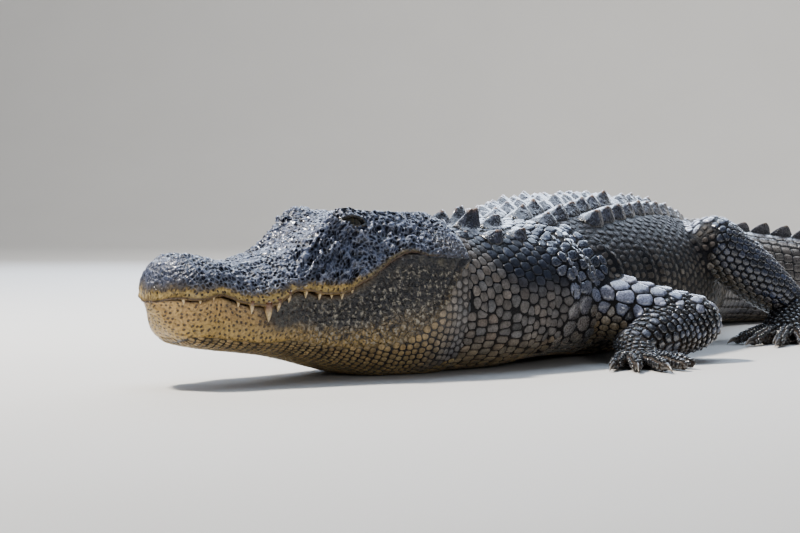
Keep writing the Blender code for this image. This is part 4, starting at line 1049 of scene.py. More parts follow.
def upper_tints(coarse, fine):
    """Colours of the upper head: blue-black with a painted highlight on the crests and painted shade in the
    hollows, and cream along the lip.
    """
    # crest follows the relief: raised hide gets a painted highlight of steel blue, sunk hide a painted
    # shade of ink.
    crest = np.clip(RELIEF / 0.001, -1, 1)
    top = paint(SLATE, (STEEL, 0.12 + 0.25 * coarse + 0.7 * np.maximum(crest, 0)),
                (INK, 0.55 * np.maximum(-crest, 0) + 0.25 * fine))
    lip = paint(CREAM, (TAN, 0.5 + 0.4 * fine + 0.3 * coarse + 0.6 * soft_step(0.5, 0.9, BAND)),
                (srgb(120, 110, 80), soft_step(0.56, 0.7, U_GRID)),
                # Painted shade: dark brown along the edge of the upper lip, where the mouth closes.
                (srgb(58, 34, 18), hill(ABOVE_LIP, 0.0024)))
    ragged = BAND + 0.5 * fine + 0.3 * coarse
    return paint(lip, (mix(WARM_GREY, top, 0.2), soft_step(0.45, 1.1, ragged)),
                 (top, soft_step(0.85, 2.1, ragged)),
                 (mix(top, WARM_GREY, 0.35), soft_step(0.86, 0.93, U_GRID) * (UP_GRID > 0.72)))


def jaw_tints(coarse, fine):
    """Colours of the lower jaw: a cream chin, a mottled grey cheek and a yellowish lower edge, with painted
    shade along the mouth, under each upper tooth and in the crease of the cheek.
    """
    behind = 0.4 * soft_step(0.55, 0.72, U_GRID)
    grey = paint(srgb(40, 40, 43), (srgb(20, 22, 30), 0.45 + 0.6 * coarse + behind),
                 (srgb(88, 83, 70), 0.85 * np.maximum(fine, 0) + 0.3 * np.maximum(coarse, 0)),
                 (INK, 0.9 * np.maximum(-fine - 0.15, 0)))
    cream = paint(srgb(176, 140, 80), (TAN, soft_step(0.35, 0.85, LOW_SHARE)), (CREAM, 0.3 * fine))
    rim = soft_step(0.58, 0.95, LOW_SHARE + 0.1 * fine) * (1 - 0.75 * soft_step(0.62, 0.86, U_GRID))
    jaw = paint(grey, (cream, 1 - soft_step(0.08, 0.3, U_GRID + 0.07 * coarse - 0.16 * LOW_SHARE)),
                (mix(TAN, srgb(172, 142, 84), 0.5 + fine), 0.85 * rim),
                # Painted shade along the top of the lower jaw, under the overhanging upper lip, darkest at
                # the mouth line.
                (srgb(110, 92, 58), 0.6 * hill(LOW_GRID, 0.045) * (1 - soft_step(0.62, 0.74, U_GRID))),
                (srgb(44, 26, 15), hill(LOW_GRID, 0.022) * (1 - soft_step(0.74, 0.82, U_GRID))))
    # socket marks the painted shadow of each upper tooth on the lower jaw: the jaw is darkened brown where
    # the tooth rests against it.
    for tooth, length in TEETH:
        socket = hill(U_GRID - tooth, 0.005 + 0.5 * length) * hill(LOW_GRID, 3.5 * length + 0.02)
        jaw = mix(jaw, srgb(70, 40, 20), 0.9 * socket)
    edge = LOW_GRID - JAW_EDGE
    # The ink line is painted shade in the crease along the rear edge of the cheek.
    return paint(jaw, (INK, 0.7 * hill(edge + 0.085, 0.02) * soft_step(0.8, 0.88, U_GRID)),
                 (srgb(30, 25, 23), soft_step(-0.01, 0.02, edge)))


def head_tints():
    coarse, fine = mottle(HEAD_GRID, 28.0, 1.0), mottle(HEAD_GRID, 150.0, 2.0)
    tints = np.where(IS_UPPER[..., None], upper_tints(coarse, fine), jaw_tints(coarse, fine))
    # Painted shade: the fold inside the closed mouth is made dark.
    tints = np.where(IN_MOUTH[None, :, None], MOUTH_SHADE * 0.5, tints)
    lid_skin = mix(srgb(30, 29, 28), srgb(58, 55, 50), 0.4 + fine)
    return paint(tints, (lid_skin, 0.8 - 0.8 * soft_step(1.2, 1.5, LID)),
                 (srgb(40, 37, 34), 0.6 * hill(LID - 1.14, 0.07)),
                 # Painted shade in the gap between the lids and the eyeball.
                 (srgb(16, 14, 12), 1 - soft_step(0.9, 1.04, LID)))


def head_masks():
    """Where the material draws pits, dots and cracks: three numbers for every point."""
    jaw_front = 1 - soft_step(0.3, 0.62, U_GRID)
    dots = 1.15 * IS_UPPER * (1 - ROUGH) * (LID > 3.0) * soft_step(0.15, 0.45, BAND)
    on_chin = IS_LOWER * (LOW_SHARE < 0.98) * soft_step(0.02, 0.06, LOW_GRID)
    dots = dots + on_chin * (0.35 + 0.65 * jaw_front)
    cracks = CHEEK * soft_step(0.3, 0.55, U_GRID) * soft_step(0.04, 0.1, LOW_GRID)
    return np.stack([ROUGH * (1 - 0.7 * hill(U_GRID - 0.02, 0.06)), dots, cracks], -1)


HEAD_FACES = head_faces(ROWS)
head_skin = build_mesh("head_skin", HEAD_GRID.reshape(-1, 3), face_arrays(HEAD_FACES), head_tints())


def unrolled():
    """Each point's distances over the plain shape, in metres: back from the tip, and round it."""
    plain = end_rows(HALF_HEAD)
    back = np.cumsum(np.linalg.norm(np.diff(plain, axis=0, prepend=plain[:1]), axis=2), 0)
    beside = np.cumsum(np.linalg.norm(np.diff(plain, axis=1, prepend=plain[:, :1]), axis=2), 1)
    beside[:, JAW_COLUMN:] -= beside[:, JAW_COLUMN:JAW_COLUMN + 1] - 3.0
    both = np.concatenate([beside, -beside[:, -2:0:-1]], 1)
    return np.stack([back[:, COLUMN_SIDE], both, np.zeros_like(both)], -1)


add_colours(head_skin.data, "hide", head_masks())
add_colours(head_skin.data, "unrolled", unrolled())
print("head skin faces:", len(head_skin.data.polygons))

# %% [markdown]
# The welded trunk and the four feet are joined to one skin, painted dark as the folds between
# plates are, and paler below. A search tree over every skin lets each plate find its seat.
# %% Join the skin and index it


def body_tints(points):
    plan = search_tree(np.pad(SPINE_PLAN, ((0, 0), (0, 1))))
    near = np.array([plan.find((p[0], p[1], 0.0))[1] for p in points])
    share = points[:, 2] / smooth(TOP_HEIGHT, SPINE_AT[near])
    tint = mix(srgb(46, 36, 28), srgb(26, 24, 24), soft_step(0.05, 0.3, share))
    return mix(tint, INK, soft_step(0.3, 0.6, share))


def join_skins():
    verts, faces = gather((mesh_points(mesh), [polygon.vertices for polygon in mesh.polygons])
                          for mesh in (BODY_MESH, *FOOT_MESHES.values()))
    verts[:, 2] = np.maximum(verts[:, 2], 0.0008)
    return build_mesh("body_skin", verts, face_arrays(faces), body_tints(verts)), faces


body_skin_piece, BODY_FACES = join_skins()


def index_skins():
    meshes = (body_skin_piece.data, head_skin.data)
    points, faces = gather(zip((mesh_points(mesh) for mesh in meshes), (BODY_FACES, HEAD_FACES)))
    normals = np.vstack([mesh_points(mesh, "normal") for mesh in meshes])
    tree = BVHTree.FromPolygons(points.tolist(), faces)
    quads = np.array([face if len(face) == 4 else (*face[:3], face[2]) for face in faces])
    return tree, unit(normals[quads].mean(1)), points, quads


SKIN_TREE, SKIN_NORMALS, SKIN_POINTS, SKIN_QUADS = index_skins()


def snap(points):
    """The nearest places on the skin, their outward directions and how far they were."""
    shape = points.shape[:-1]
    places, found, gaps = [], [], []
    for p in points.reshape(-1, 3).tolist():
        place, _, index, gap = SKIN_TREE.find_nearest(p)
        places.append(place)
        found.append(index)
        gaps.append(gap)
    return (np.array(places).reshape(*shape, 3), SKIN_NORMALS[found].reshape(*shape, 3),
            np.array(gaps).reshape(shape))


print("skin faces indexed:", len(SKIN_QUADS))

# %% [markdown]
# The coat of plates. Each plate starts as a seed: a place on the skin, a direction toward the
# head, a length and a width. Seeds are set out in whorls round the trunk, tail and legs, as
# real ones grow, and each seed also keeps its own colour. Later every plate is cut to the
# shape of its neighbourhood, so that plates fit together with thin dark gaps everywhere.
# %% Seeds for the plates
HALF_ARC = np.radians(np.linspace(90, -90, 121))
DRIFT_SCALE = 16.0
HEIGHT_SPREAD = 0.1


class Seeds:
    """A growing list of plate seeds with everything that is known of each."""

    numbers_each = {"point": (3,), "ahead": (3,), "tint": (3,), "mark": (2,)}

    def __init__(self):
        self.rows = []

    def add(self, group, point, ahead, long, wide, tall, tint, mark, **looks):
        row = {"lean": 0.3, "keel": 0.0, "gap": 0.001, "corner": 7.0, **looks, "group": group,
               "point": point, "ahead": ahead, "long": long, "wide": wide, "tall": tall, "tint": tint,
               "mark": mark}
        shapes = {key: (len(point), *self.numbers_each.get(key, ())) for key in row}
        self.rows.append({key: np.array(np.broadcast_to(row[key], shapes[key])) for key in row})

    def columns(self):
        return {key: np.concatenate([row[key] for row in self.rows]) for key in self.rows[0]}


SEEDS = Seeds()


def jitter(count, spread_by):
    return rng.normal(0.0, 1.0, count) * spread_by


def shade(colour, count, light=0.1, warm=0.03):
    """Copies of a colour that differ a little in lightness and warmth."""
    factor = np.exp(jitter(count, light))[:, None]
    tilt = np.exp(jitter(count, warm))[:, None] ** np.array((1.0, 0.0, -1.0))
    return np.clip(colour * factor * tilt, 0.0, 1.0)


def whorl(s, pitch, low_arc, high_share, offset):
    """Places along one transverse row of the trunk or tail, both sides, from the back down."""
    line = body_skin(s, HALF_ARC, -SKIN_DEPTH)
    run = run_along(line)
    arcs = np.arange(low_arc + (0.5 + offset) * pitch, high_share * run[-1], pitch)
    left = np.stack([np.interp(arcs, run, line[:, k]) for k in range(3)], 1)
    angle = np.interp(arcs, run, HALF_ARC)
    right = body_skin(s, math.pi - angle, -SKIN_DEPTH)
    points = np.vstack([left, right])
    share = np.tile(arcs / run[-1], 2)
    turn = np.concatenate([arcs, -arcs]) / run[-1]
    mark = np.stack([np.full(len(points), strip(s)), 0.5 + 0.48 * turn], 1)
    return points, share, mark


def at_place(value, x):
    """A value that may change along the body: a number, or a function of the place."""
    return float(value(x)) if callable(value) else value


def knots(*pairs):
    return lambda x: smooth(pairs, x)


def trunk_zone(group, start, end, pitch, across, arcs, shares, colour, *,
               tall, stagger=True, loose=0.1, **looks):
    """Whorls of seeds over one zone of the trunk or tail. Pitches and limits may change along s."""
    s, row = start, 0
    while s < end:
        along, beside, low = (at_place(value, s) for value in (pitch, across, arcs))
        points, share, mark = whorl(s, beside, low, shares[1], 0.5 * (row % 2) * stagger)
        keep = share >= shares[0]
        points, share, mark = points[keep], share[keep], mark[keep]
        count = len(points)
        if count:
            _, forward, _ = spine_frame(np.array(s))
            drift = np.array([noise.noise_vector(Vector(p) * DRIFT_SCALE) for p in points])
            stray = rng.normal(0.0, 0.7 * loose * beside, (count, 3))
            points = points + drift * (1.6 * loose * along) + stray
            points[:, 2] = np.maximum(points[:, 2], 0.001)
            height = tall * np.exp(jitter(count, HEIGHT_SPREAD))
            tint = colour(s, share, count)
            SEEDS.add(group, points, np.append(forward, 0.0), along, beside, height, tint, mark, **looks)
        s += along
        row += 1


SHIELD_HALF_WIDTH = (
    (0.2, 0.075), (0.3, 0.112), (0.54, 0.116), (0.7, 0.112), (0.8, 0.088), (1.0, 0.066),
)
COLUMN_WIDTH = ((0.2, 0.034), (0.54, 0.037), (0.7, 0.036), (0.8, 0.028), (1.0, 0.027), (1.4, 0.022))
TRUNK_ROWS = 17
TRUNK_ROWS_START, TRUNK_ROWS_END = 0.215, 0.945


def shield_edge(s):
    """Arc length from the midline to the edge of the keeled shield of the back."""
    if not TRUNK_ROWS_START - 0.02 < s < TRUNK_ROWS_END + 0.02:
        return 0.0
    width = smooth(COLUMN_WIDTH, s)
    return smooth(SHIELD_HALF_WIDTH, s) // width * width


PALE = srgb(112, 107, 104)
BONE = srgb(146, 130, 104)
STRAW = srgb(168, 144, 100)
FLANK = srgb(84, 78, 70)
BLUE_DARK = srgb(36, 42, 58)
GLOSS_GREY = srgb(96, 100, 118)


def layered(first, *rest):
    """A rule for colours: the first for every seed, then others from one share of the way down on.

    Each colour comes with how far seeds differ in lightness and, if need be, in warmth.
    """
    def rule(place, share, count):
        tint = shade(first[0], count, *first[1:])
        for (low, high), colour, *differ in rest:
            tint = mix(tint, shade(colour, count, *differ), soft_step(low, high, share))
        return tint
    return rule


def neck_colour(s, share, count):
    dark = 0.2 + 0.2 * soft_step(0.03, 0.09, s)
    rule = layered((BLUE_DARK * 0.75, 0.22), ((dark, dark + 0.12), PALE * 0.85, 0.16, 0.05),
                   ((0.58, 0.8), mix(BONE, STRAW, 0.4), 0.12))
    return rule(s, share, count)


# The top of the shoulder is the dark blue lightened 1.4 times, a painted sheen for its glints.
shoulder_colour = layered((BLUE_DARK * 1.4, 0.26), ((0.38, 0.46), GLOSS_GREY, 0.22, 0.05),
                          ((0.5, 0.56), PALE * 0.9, 0.15, 0.05), ((0.64, 0.8), BONE, 0.1))
flank_colour = layered((srgb(40, 40, 46), 0.25), ((0.3, 0.5), FLANK, 0.22),
                       ((0.62, 0.8), BONE * 0.85, 0.12))
belly_colour = layered((mix(BONE, STRAW, 0.5), 0.07))


def tail_colour(s, share, count):
    band = 0.5 + 0.5 * math.sin(s * 2 * math.pi / 0.19)
    dark = shade(srgb(48, 47, 53), count, 0.2)
    tint = mix(dark, shade(srgb(84, 76, 66), count, 0.16), 0.5 * band * soft_step(0.15, 0.4, share))
    return mix(tint, shade(BONE * 0.8, count, 0.1), soft_step(0.7, 0.9, share))


trunk_zone("neck", 0.003, 0.134, knots((0.0, 0.0106), (0.13, 0.013)), knots((0.0, 0.0134), (0.13, 0.0144)),
           0.01, (0.0, 0.52), neck_colour, tall=0.0016, gap=0.0012, corner=14.0, lean=0.25, loose=0.1)
trunk_zone("neck", 0.005, 0.14, 0.017, 0.0102, 0.01, (0.535, 0.8), neck_colour,
           tall=0.0015, gap=0.0012, corner=8.0, lean=0.25, loose=0.09)
trunk_zone("throat", 0.004, 0.235, 0.014, 0.0105, 0.0, (0.8, 1.0), neck_colour,
           tall=0.0012, gap=0.0011, corner=12.0)
trunk_zone("shoulder", 0.142, 0.232, 0.015, 0.014, shield_edge, (0.0, 0.43), shoulder_colour,
           tall=0.002, gap=0.0014, corner=12.0, loose=0.12)
trunk_zone("shoulder", 0.15, 0.236, 0.0235, 0.0245, shield_edge, (0.445, 0.66), shoulder_colour,
           tall=0.0021, gap=0.0014, corner=20.0, stagger=False, loose=0.05)
trunk_zone("shoulder", 0.15, 0.236, 0.0165, 0.0135, shield_edge, (0.675, 0.8), shoulder_colour,
           tall=0.0016, gap=0.0013, corner=10.0)
trunk_zone("flank", 0.244, 0.975, 0.0205, 0.011, shield_edge, (0.0, 0.755), flank_colour,
           tall=0.0011, gap=0.0034, corner=4.5, lean=0.15, loose=0.14)
trunk_zone("belly", 0.24, 0.985, 0.024, 0.0215, 0.0, (0.8, 1.0), belly_colour,
           tall=0.001, gap=0.0011, corner=14.0, stagger=False, loose=0.02)
trunk_zone("tail", 0.986, 2.395, knots((0.98, 0.022), (1.8, 0.02), (2.4, 0.013)),
           knots((0.98, 0.015), (1.5, 0.012), (2.0, 0.0088), (2.4, 0.0052)), 0.004, (0.0, 1.0),
           tail_colour, tall=0.0014, gap=0.0013, corner=10.0, stagger=False, loose=0.03, lean=0.5)
print("seeds on trunk and tail:", len(SEEDS.columns()["long"]))

# %% [markdown]
# Under the jaw the plates are long and narrow and lie along the throat, cream with brown gaps.
# They begin at the lower edge of the jawbone. Behind the cheek they climb to meet the neck.
# %% Seeds under the jaw


THROAT_PITCH = 0.0088


def throat_seeds():
    rows = np.arange(0.055, 1.0, THROAT_PITCH / HEAD_LENGTH)
    for number, u in enumerate(rows):
        row = int(np.argmin(np.abs(HEAD_AT - u)))
        edge = np.interp(u, HEAD_AT, JAW_EDGE[EXTRA_FRONT:-EXTRA_REAR, 0])
        line = SHAPED_HALF[row, JAW_COLUMN:]
        run = run_along(line)
        start = np.interp(edge, LOWER_SHARE, run) + 0.0015
        pitch = 0.0046 + 0.0046 * soft_step(0.45, 0.95, u)
        arcs = np.arange(start + (0.25 + 0.5 * (number % 2)) * pitch, run[-1] - 0.2 * pitch, pitch)
        half = np.stack([np.interp(arcs, run, line[:, k]) for k in range(3)], 1)
        both = np.vstack([half, half * np.array((1.0, -1.0, 1.0))])
        both[:, 0] += jitter(len(both), 0.0007)
        points = to_world(both)
        share = np.tile((arcs - start) / max(run[-1] - start, 0.01), 2)
        side = np.repeat((1.0, -1.0), len(arcs))
        count = len(both)
        tint = mix(shade(srgb(150, 126, 84), count, 0.14), shade(STRAW, count, 0.12), 0.3 + share)
        tint = mix(tint, shade(PALE, count, 0.12), soft_step(0.8, 0.97, u) * (share < 0.55))
        mark = np.stack([np.full(count, 0.15 + 0.83 * u), 0.5 + side * (0.46 - 0.4 * share)], 1)
        SEEDS.add("throat", points, np.append(HEAD_FORWARD, 0.0), THROAT_PITCH, pitch, 0.001, tint, mark,
                  gap=0.0011, corner=6.0, lean=0.25)


throat_seeds()
print("seeds with the throat:", len(SEEDS.columns()["long"]))

# %% [markdown]
# The legs carry plates of several kinds. Large glossy plates lie in slanting rows over the
# upper arm, lightened on top by a painted sheen. Small keeled ones sheathe the forearm, and
# broad rings cross the wrist and run down every finger. The thigh and shank have rounded ones
# with pale rims below, and a painted highlight over the knee.
# %% Seeds on the legs


def tube_zone(group, tube, start, end, pitch, across, colour, angles=(0.0, 360.0), slant=0.0, *,
              tall, strip, stagger=True, fill=1.0, **looks):
    """Rows of seeds round a tube, between two distances along it. Fill shortens the plates."""
    t, row = start, 0
    while t < end:
        along, beside = (at_place(value, t) for value in (pitch, across))
        girth = math.pi * tube.size(np.array(t)).sum() * 0.99
        count = max(3, int(round(girth / beside)))
        angle = (np.arange(count) + 0.5 * (row % 2) * stagger) * 2 * math.pi / count
        degrees = np.degrees(angle) % 360.0
        angle = angle[(degrees >= angles[0]) & (degrees <= angles[1])]
        if len(angle):
            at = np.clip(t + slant * np.sin(angle) + jitter(len(angle), 0.05 * along), 0.0, tube.length)
            points = tube.surface(at, angle, -SKIN_DEPTH * 0.8)
            ahead, _, _ = tube.frame(at)
            mark = np.stack([strip[0] + (strip[1] - strip[0]) * np.clip(at / tube.length, 0, 1),
                             0.03 + 0.94 * (angle / (2 * math.pi) % 1.0)], 1)
            height = tall * np.exp(jitter(len(angle), HEIGHT_SPREAD))
            tint = colour(t / tube.length, 0.5 + 0.5 * np.sin(angle), len(angle))
            SEEDS.add(group, points, -ahead, along * fill, beside, height, tint, mark, **looks)
        t += along
        row += 1


# Upper-arm plates turn grey-blue on top, lightened 1.6 times: a painted sheen for the glints on their upper
# faces.
arm_colour = layered((BONE, 0.12), ((0.2, 0.45), PALE * 0.85, 0.14),
                     ((0.36, 0.54), GLOSS_GREY * 1.6, 0.28, 0.05))
forearm_base = layered((srgb(66, 58, 50), 0.18), ((0.2, 0.5), srgb(32, 34, 43), 0.24))
thigh_base = layered((srgb(92, 84, 72), 0.14), ((0.08, 0.26), srgb(44, 48, 60), 0.2))
shank_colour = layered((srgb(90, 83, 72), 0.14), ((0.07, 0.22), srgb(38, 44, 62), 0.34))
hand_colour = layered((srgb(56, 48, 42), 0.14), ((0.3, 0.6), srgb(30, 33, 42), 0.2))


def forearm_colour(t, share, count):
    """Dark, with a pale plate here and there."""
    tint = forearm_base(t, share, count)
    return mix(tint, shade(srgb(112, 118, 136), count, 0.24), 0.55 * (rng.random(count) < 0.35))


def thigh_colour(t, share, count):
    """Grey, with a painted highlight over the knee."""
    # knee is a painted highlight: pale blue-white over the top of the knee, where its plates glint.
    tint, knee = thigh_base(t, share, count), 0.9 * soft_step(0.55, 0.95, t) * soft_step(0.4, 0.8, share)
    return mix(tint, shade(srgb(150, 156, 176), count, 0.2), knee)


UPPER_STRIP, LOWER_STRIP, PALM_STRIP = (0.02, 0.47), (0.53, 0.98), (0.02, 0.18)
for (kind, side), leg in LEGS.items():
    upper, lower, palm = leg["upper"], leg["lower"], leg["palm"]
    arm, past_bend = f"{kind}_{side}", upper.length + 0.018
    if kind == "front":
        tube_zone(arm, upper, 0.012, past_bend, 0.024, 0.0205, arm_colour, (-1.0, 192.0), 0.055,
                  tall=0.0026, gap=0.0016, corner=22.0, lean=0.55, stagger=False, fill=0.84,
                  strip=UPPER_STRIP)
        tube_zone(arm, upper, 0.03, past_bend, 0.0125, 0.0125, arm_colour, (192.0, 361.0),
                  tall=0.0014, gap=0.0012, corner=9.0, lean=0.4, strip=UPPER_STRIP)
        tube_zone(arm, lower, 0.004, lower.length * 0.58, 0.01, 0.0096, forearm_colour, slant=0.01,
                  tall=0.0017, gap=0.0011, corner=9.0, lean=0.9, keel=0.0008, strip=LOWER_STRIP)
        tube_zone(arm, lower, lower.length * 0.6, lower.length, 0.0118, 0.015, forearm_colour,
                  slant=0.006, tall=0.002, gap=0.0011, corner=14.0, lean=1.0, stagger=False,
                  strip=LOWER_STRIP)
    else:
        tube_zone(arm, upper, 0.02, past_bend, knots((0.0, 0.0125), (0.16, 0.016)),
                  knots((0.0, 0.012), (0.16, 0.015)), thigh_colour,
                  tall=0.0022, gap=0.0013, corner=8.0, lean=0.35, strip=UPPER_STRIP)
        tube_zone(arm, lower, 0.004, lower.length * 0.72, 0.0115, 0.011, shank_colour,
                  tall=0.002, gap=0.0013, corner=8.0, lean=0.6, strip=LOWER_STRIP)
        tube_zone(arm, lower, lower.length * 0.73, lower.length, 0.01, 0.0125, shank_colour,
                  tall=0.0018, gap=0.0011, corner=12.0, lean=0.9, stagger=False, strip=LOWER_STRIP)
    tube_zone(arm + "_foot", palm, 0.006, palm.length, 0.0082, 0.0084, hand_colour,
              tall=0.0015, gap=0.001, corner=9.0, lean=0.8, strip=PALM_STRIP)
    for number, finger in enumerate(leg["fingers"]):
        strips = (0.2 + 0.16 * number, 0.34 + 0.16 * number)
        far = finger.length + 0.001
        tube_zone(arm + "_foot", finger, 0.008, far, 0.007, 0.01, hand_colour, (-1.0, 200.0),
                  tall=0.0017, gap=0.0009, corner=14.0, lean=1.0, stagger=False, strip=strips)
        tube_zone(arm + "_foot", finger, 0.008, far, 0.0062, 0.0072, hand_colour, (200.0, 361.0),
                  tall=0.0008, gap=0.0008, corner=8.0, lean=0.4, strip=strips)
print("seeds in all:", len(SEEDS.columns()["long"]))

# %% [markdown]
# Big keeled scutes of the back, the nuchal ones of the neck and the upright crests of the tail
# are pieces of their own kind. They are only placed here, as blocks that the small plates must
# leave room for. The rows and columns are the construction model's, so that the keels of the
# render stand where the keels of the solids stand.
# %% Places of the scutes and crests
TRUNK_KEEL = ((0.2, 0.013), (0.4, 0.013), (0.7, 0.011), (0.98, 0.012))
NECK_SCUTES = (
    (0.03, 0.021, 0.022, 0.02, 0.008), (0.034, 0.06, 0.02, 0.018, 0.006),
    (0.074, 0.024, 0.04, 0.036, 0.02), (0.078, 0.066, 0.028, 0.026, 0.01),
    (0.118, 0.025, 0.04, 0.036, 0.022), (0.12, 0.066, 0.026, 0.026, 0.009),
)
TWIN_CREST_END = 1.78
CREST_PITCH = 0.044
CREST_ROOM = 0.011
CREST_HEIGHT = ((0.98, 0.011), (1.2, 0.017), (1.5, 0.027), (1.8, 0.036), (2.1, 0.03), (2.42, 0.01))
CREST_SPREAD = ((0.98, 0.036), (1.3, 0.03), (1.6, 0.018), (1.78, 0.009))


def skin_frame(s, arc):
    """The solids' place, forward, sideways and outward directions at an arc from the midline."""
    angles = np.radians(np.linspace(90, -20, 111))
    angle = np.interp(abs(arc), run_along(body_skin(s, angles)), angles)
    angle = angle if arc >= 0 else math.pi - angle
    ahead = Vector(body_skin(s - 0.004, angle) - body_skin(s + 0.004, angle)).normalized()
    side = Vector(body_skin(s, angle - 0.02) - body_skin(s, angle + 0.02))
    outward = ahead.cross(side).normalized()
    return np.array(body_skin(s, angle)), np.array(ahead), np.array(outward.cross(ahead)), np.array(outward)


def scute_places():
    """Every big scute: its spine place, arc, length, width and height of keel."""
    places = []
    pitch = (TRUNK_ROWS_END - TRUNK_ROWS_START) / (TRUNK_ROWS - 1)
    for s in np.linspace(TRUNK_ROWS_START, TRUNK_ROWS_END, TRUNK_ROWS):
        width, keel = smooth(COLUMN_WIDTH, s), smooth(TRUNK_KEEL, s)
        for column in range(int(smooth(SHIELD_HALF_WIDTH, s) // width)):
            fade = 0.85 if column == 0 else 1.0
            for side in (1, -1):
                places.append((s, side * (column + 0.5) * width, 0.97 * pitch, 0.97 * width, keel * fade))
    for s, arc, length, width, keel in NECK_SCUTES:
        places += [(s, side * arc, 1.05 * length, 1.05 * width, keel) for side in (1, -1)]
    return places


def crest_places():
    """Every crest plate: its spine place, arc, length and height."""
    places = []
    for s in np.arange(TAIL_START + CREST_PITCH / 2, SPINE_LENGTH - 0.02, CREST_PITCH):
        height = smooth(CREST_HEIGHT, s)
        arc = smooth(CREST_SPREAD, s) if s < TWIN_CREST_END else 0.0
        places += [(s, side * arc, 0.9 * CREST_PITCH, height) for side in ((1, -1) if arc else (1,))]
    return places


SCUTES, CRESTS = scute_places(), crest_places()
for s, arc, length, width, _ in SCUTES:
    at, ahead, _, _ = skin_frame(s, arc)
    SEEDS.add("block", at[None], ahead[None], length, width, 0.0, SLATE, (0.5, 0.5))
for s, arc, length, _ in CRESTS:
    at, ahead, _, _ = skin_frame(s, arc)
    for shift in (0.25, -0.25):
        SEEDS.add("block", (at + ahead * shift * length)[None], ahead[None], 0.5 * length, CREST_ROOM, 0.0,
                  SLATE, (0.5, 0.5))
print("scutes:", len(SCUTES), "crest plates:", len(CRESTS))

# %% [markdown]
# Where two tubes cross, as at the shoulder, their seeds crowd or lie buried. Seeds far from the
# skin are dropped, then any that stand too close to one already kept. Bare spots are filled
# with seeds thrown at random on the skin, each like its nearest neighbour.
# %% Sort out the seeds
BURIED = 0.0045
CROWDED = 0.62
WIDEST_REACH = 0.03
FILL_TRIES = 60000
CELL = 0.012


def take(seeds, which):
    return {key: value[which] for key, value in seeds.items()}


def seat(seeds):
    """Moves every seed to the skin and drops those that were buried inside it."""
    place, normal, far = snap(seeds["point"])
    seeds = dict(seeds, point=place, normal=normal)
    keep = (far < BURIED) | (seeds["group"] == "block")
    return take(seeds, keep)


def in_block(seeds, j, point, margin):
    """Whether a point lies on the footprint of a big scute, or within the margin of it."""
    offset = point - seeds["point"][j]
    x = offset @ seeds["ahead"][j]
    y = math.sqrt(max(offset @ offset - x * x, 0.0))
    return abs(x) < 0.5 * seeds["long"][j] + margin and y < 0.5 * seeds["wide"][j] + margin


def thin_out(seeds):
    """Drops seeds that crowd a neighbour of a more important group."""
    order = {"block": 0, "throat": 1, "neck": 2}
    rank = np.array([order.get(g, 3 if g.startswith("front") or g.startswith("hind") else 4)
                     for g in seeds["group"]])
    seeds = take(seeds, np.argsort(rank, kind="stable"))
    tree = search_tree(seeds["point"])
    small = np.minimum(seeds["long"], seeds["wide"])
    kept = np.zeros(len(rank), bool)
    for i, p in enumerate(seeds["point"]):
        if seeds["group"][i] == "block":
            kept[i] = True
            continue
        for _, j, far in tree.find_range(p, WIDEST_REACH):
            if not kept[j]:
                continue
            if seeds["group"][j] == "block":
                if in_block(seeds, j, p, 0.2 * small[i]):
                    break
            elif far < CROWDED * 0.5 * (small[i] + small[j]):
                break
        else:
            kept[i] = True
    return take(seeds, kept)


def fill_bare(seeds):
    """Adds seeds on bare skin of the body, each like its nearest neighbour."""
    corners = SKIN_POINTS[SKIN_QUADS[:len(BODY_FACES)]]
    diagonals = np.cross(corners[:, 2] - corners[:, 0], corners[:, 3] - corners[:, 1])
    area = 0.5 * np.linalg.norm(diagonals, axis=1)
    chosen = rng.choice(len(area), FILL_TRIES, p=area / area.sum())
    a, b = rng.random((2, FILL_TRIES, 1))
    c = corners[chosen]
    points = (c[:, 0] * (1 - a) + c[:, 1] * a) * (1 - b) + (c[:, 3] * (1 - a) + c[:, 2] * a) * b
    points = points[points[:, 2] > 0.0012]
    block = seeds["group"] == "block"
    trees = [search_tree(seeds["point"], np.flatnonzero(kind)) for kind in (~block, block)]
    spare = 0.54 * np.hypot(seeds["long"], seeds["wide"])
    added, like, cells = [], [], {}
    for p in points:
        _, i, far = trees[0].find(p)
        size = max(min(seeds["long"][i], seeds["wide"][i]), 0.008)
        if far < max(spare[i], 0.006) or far > 0.045 or any(
                in_block(seeds, j, p, 0.3 * size) for _, j, _ in trees[1].find_n(p, 4)):
            continue
        key = tuple((p // CELL).astype(int))
        near = [q for dx in (-1, 0, 1) for dy in (-1, 0, 1) for dz in (-1, 0, 1)
                for q in cells.get((key[0] + dx, key[1] + dy, key[2] + dz), ())]
        if any(((p - q) ** 2).sum() < (0.8 * size) ** 2 for q in near):
            continue
        cells.setdefault(key, []).append(p)
        added.append(p)
        like.append(i)
    extra = take(seeds, np.array(like, int))
    place, normal, _ = snap(np.array(added))
    side = np.minimum(extra["long"], extra["wide"])
    aside = extra["mark"] + rng.uniform(-0.006, 0.006, (len(side), 2))
    extra.update(point=place, normal=normal, long=side, wide=side, mark=aside,
                 corner=np.full(len(side), 7.0))
    return {key: np.concatenate([seeds[key], extra[key]]) for key in seeds}


PLATES = fill_bare(thin_out(seat(SEEDS.columns())))
print("plates to make:", int((PLATES["group"] != "block").sum()))

# %% [markdown]
# Each plate is cut to the space between it and its neighbours. From the seed, rays go out over
# the skin. On each ray the plate ends half way to the nearest neighbour, with a rounded corner
# where two neighbours meet. The outline is then raised in rings to a low dome that leans up
# toward the tail, and every point is set on the skin itself, so plates follow its curves.
# %% Cut and raise the plates
NEIGHBOURS = 14
PLATE_SINK = 0.0011
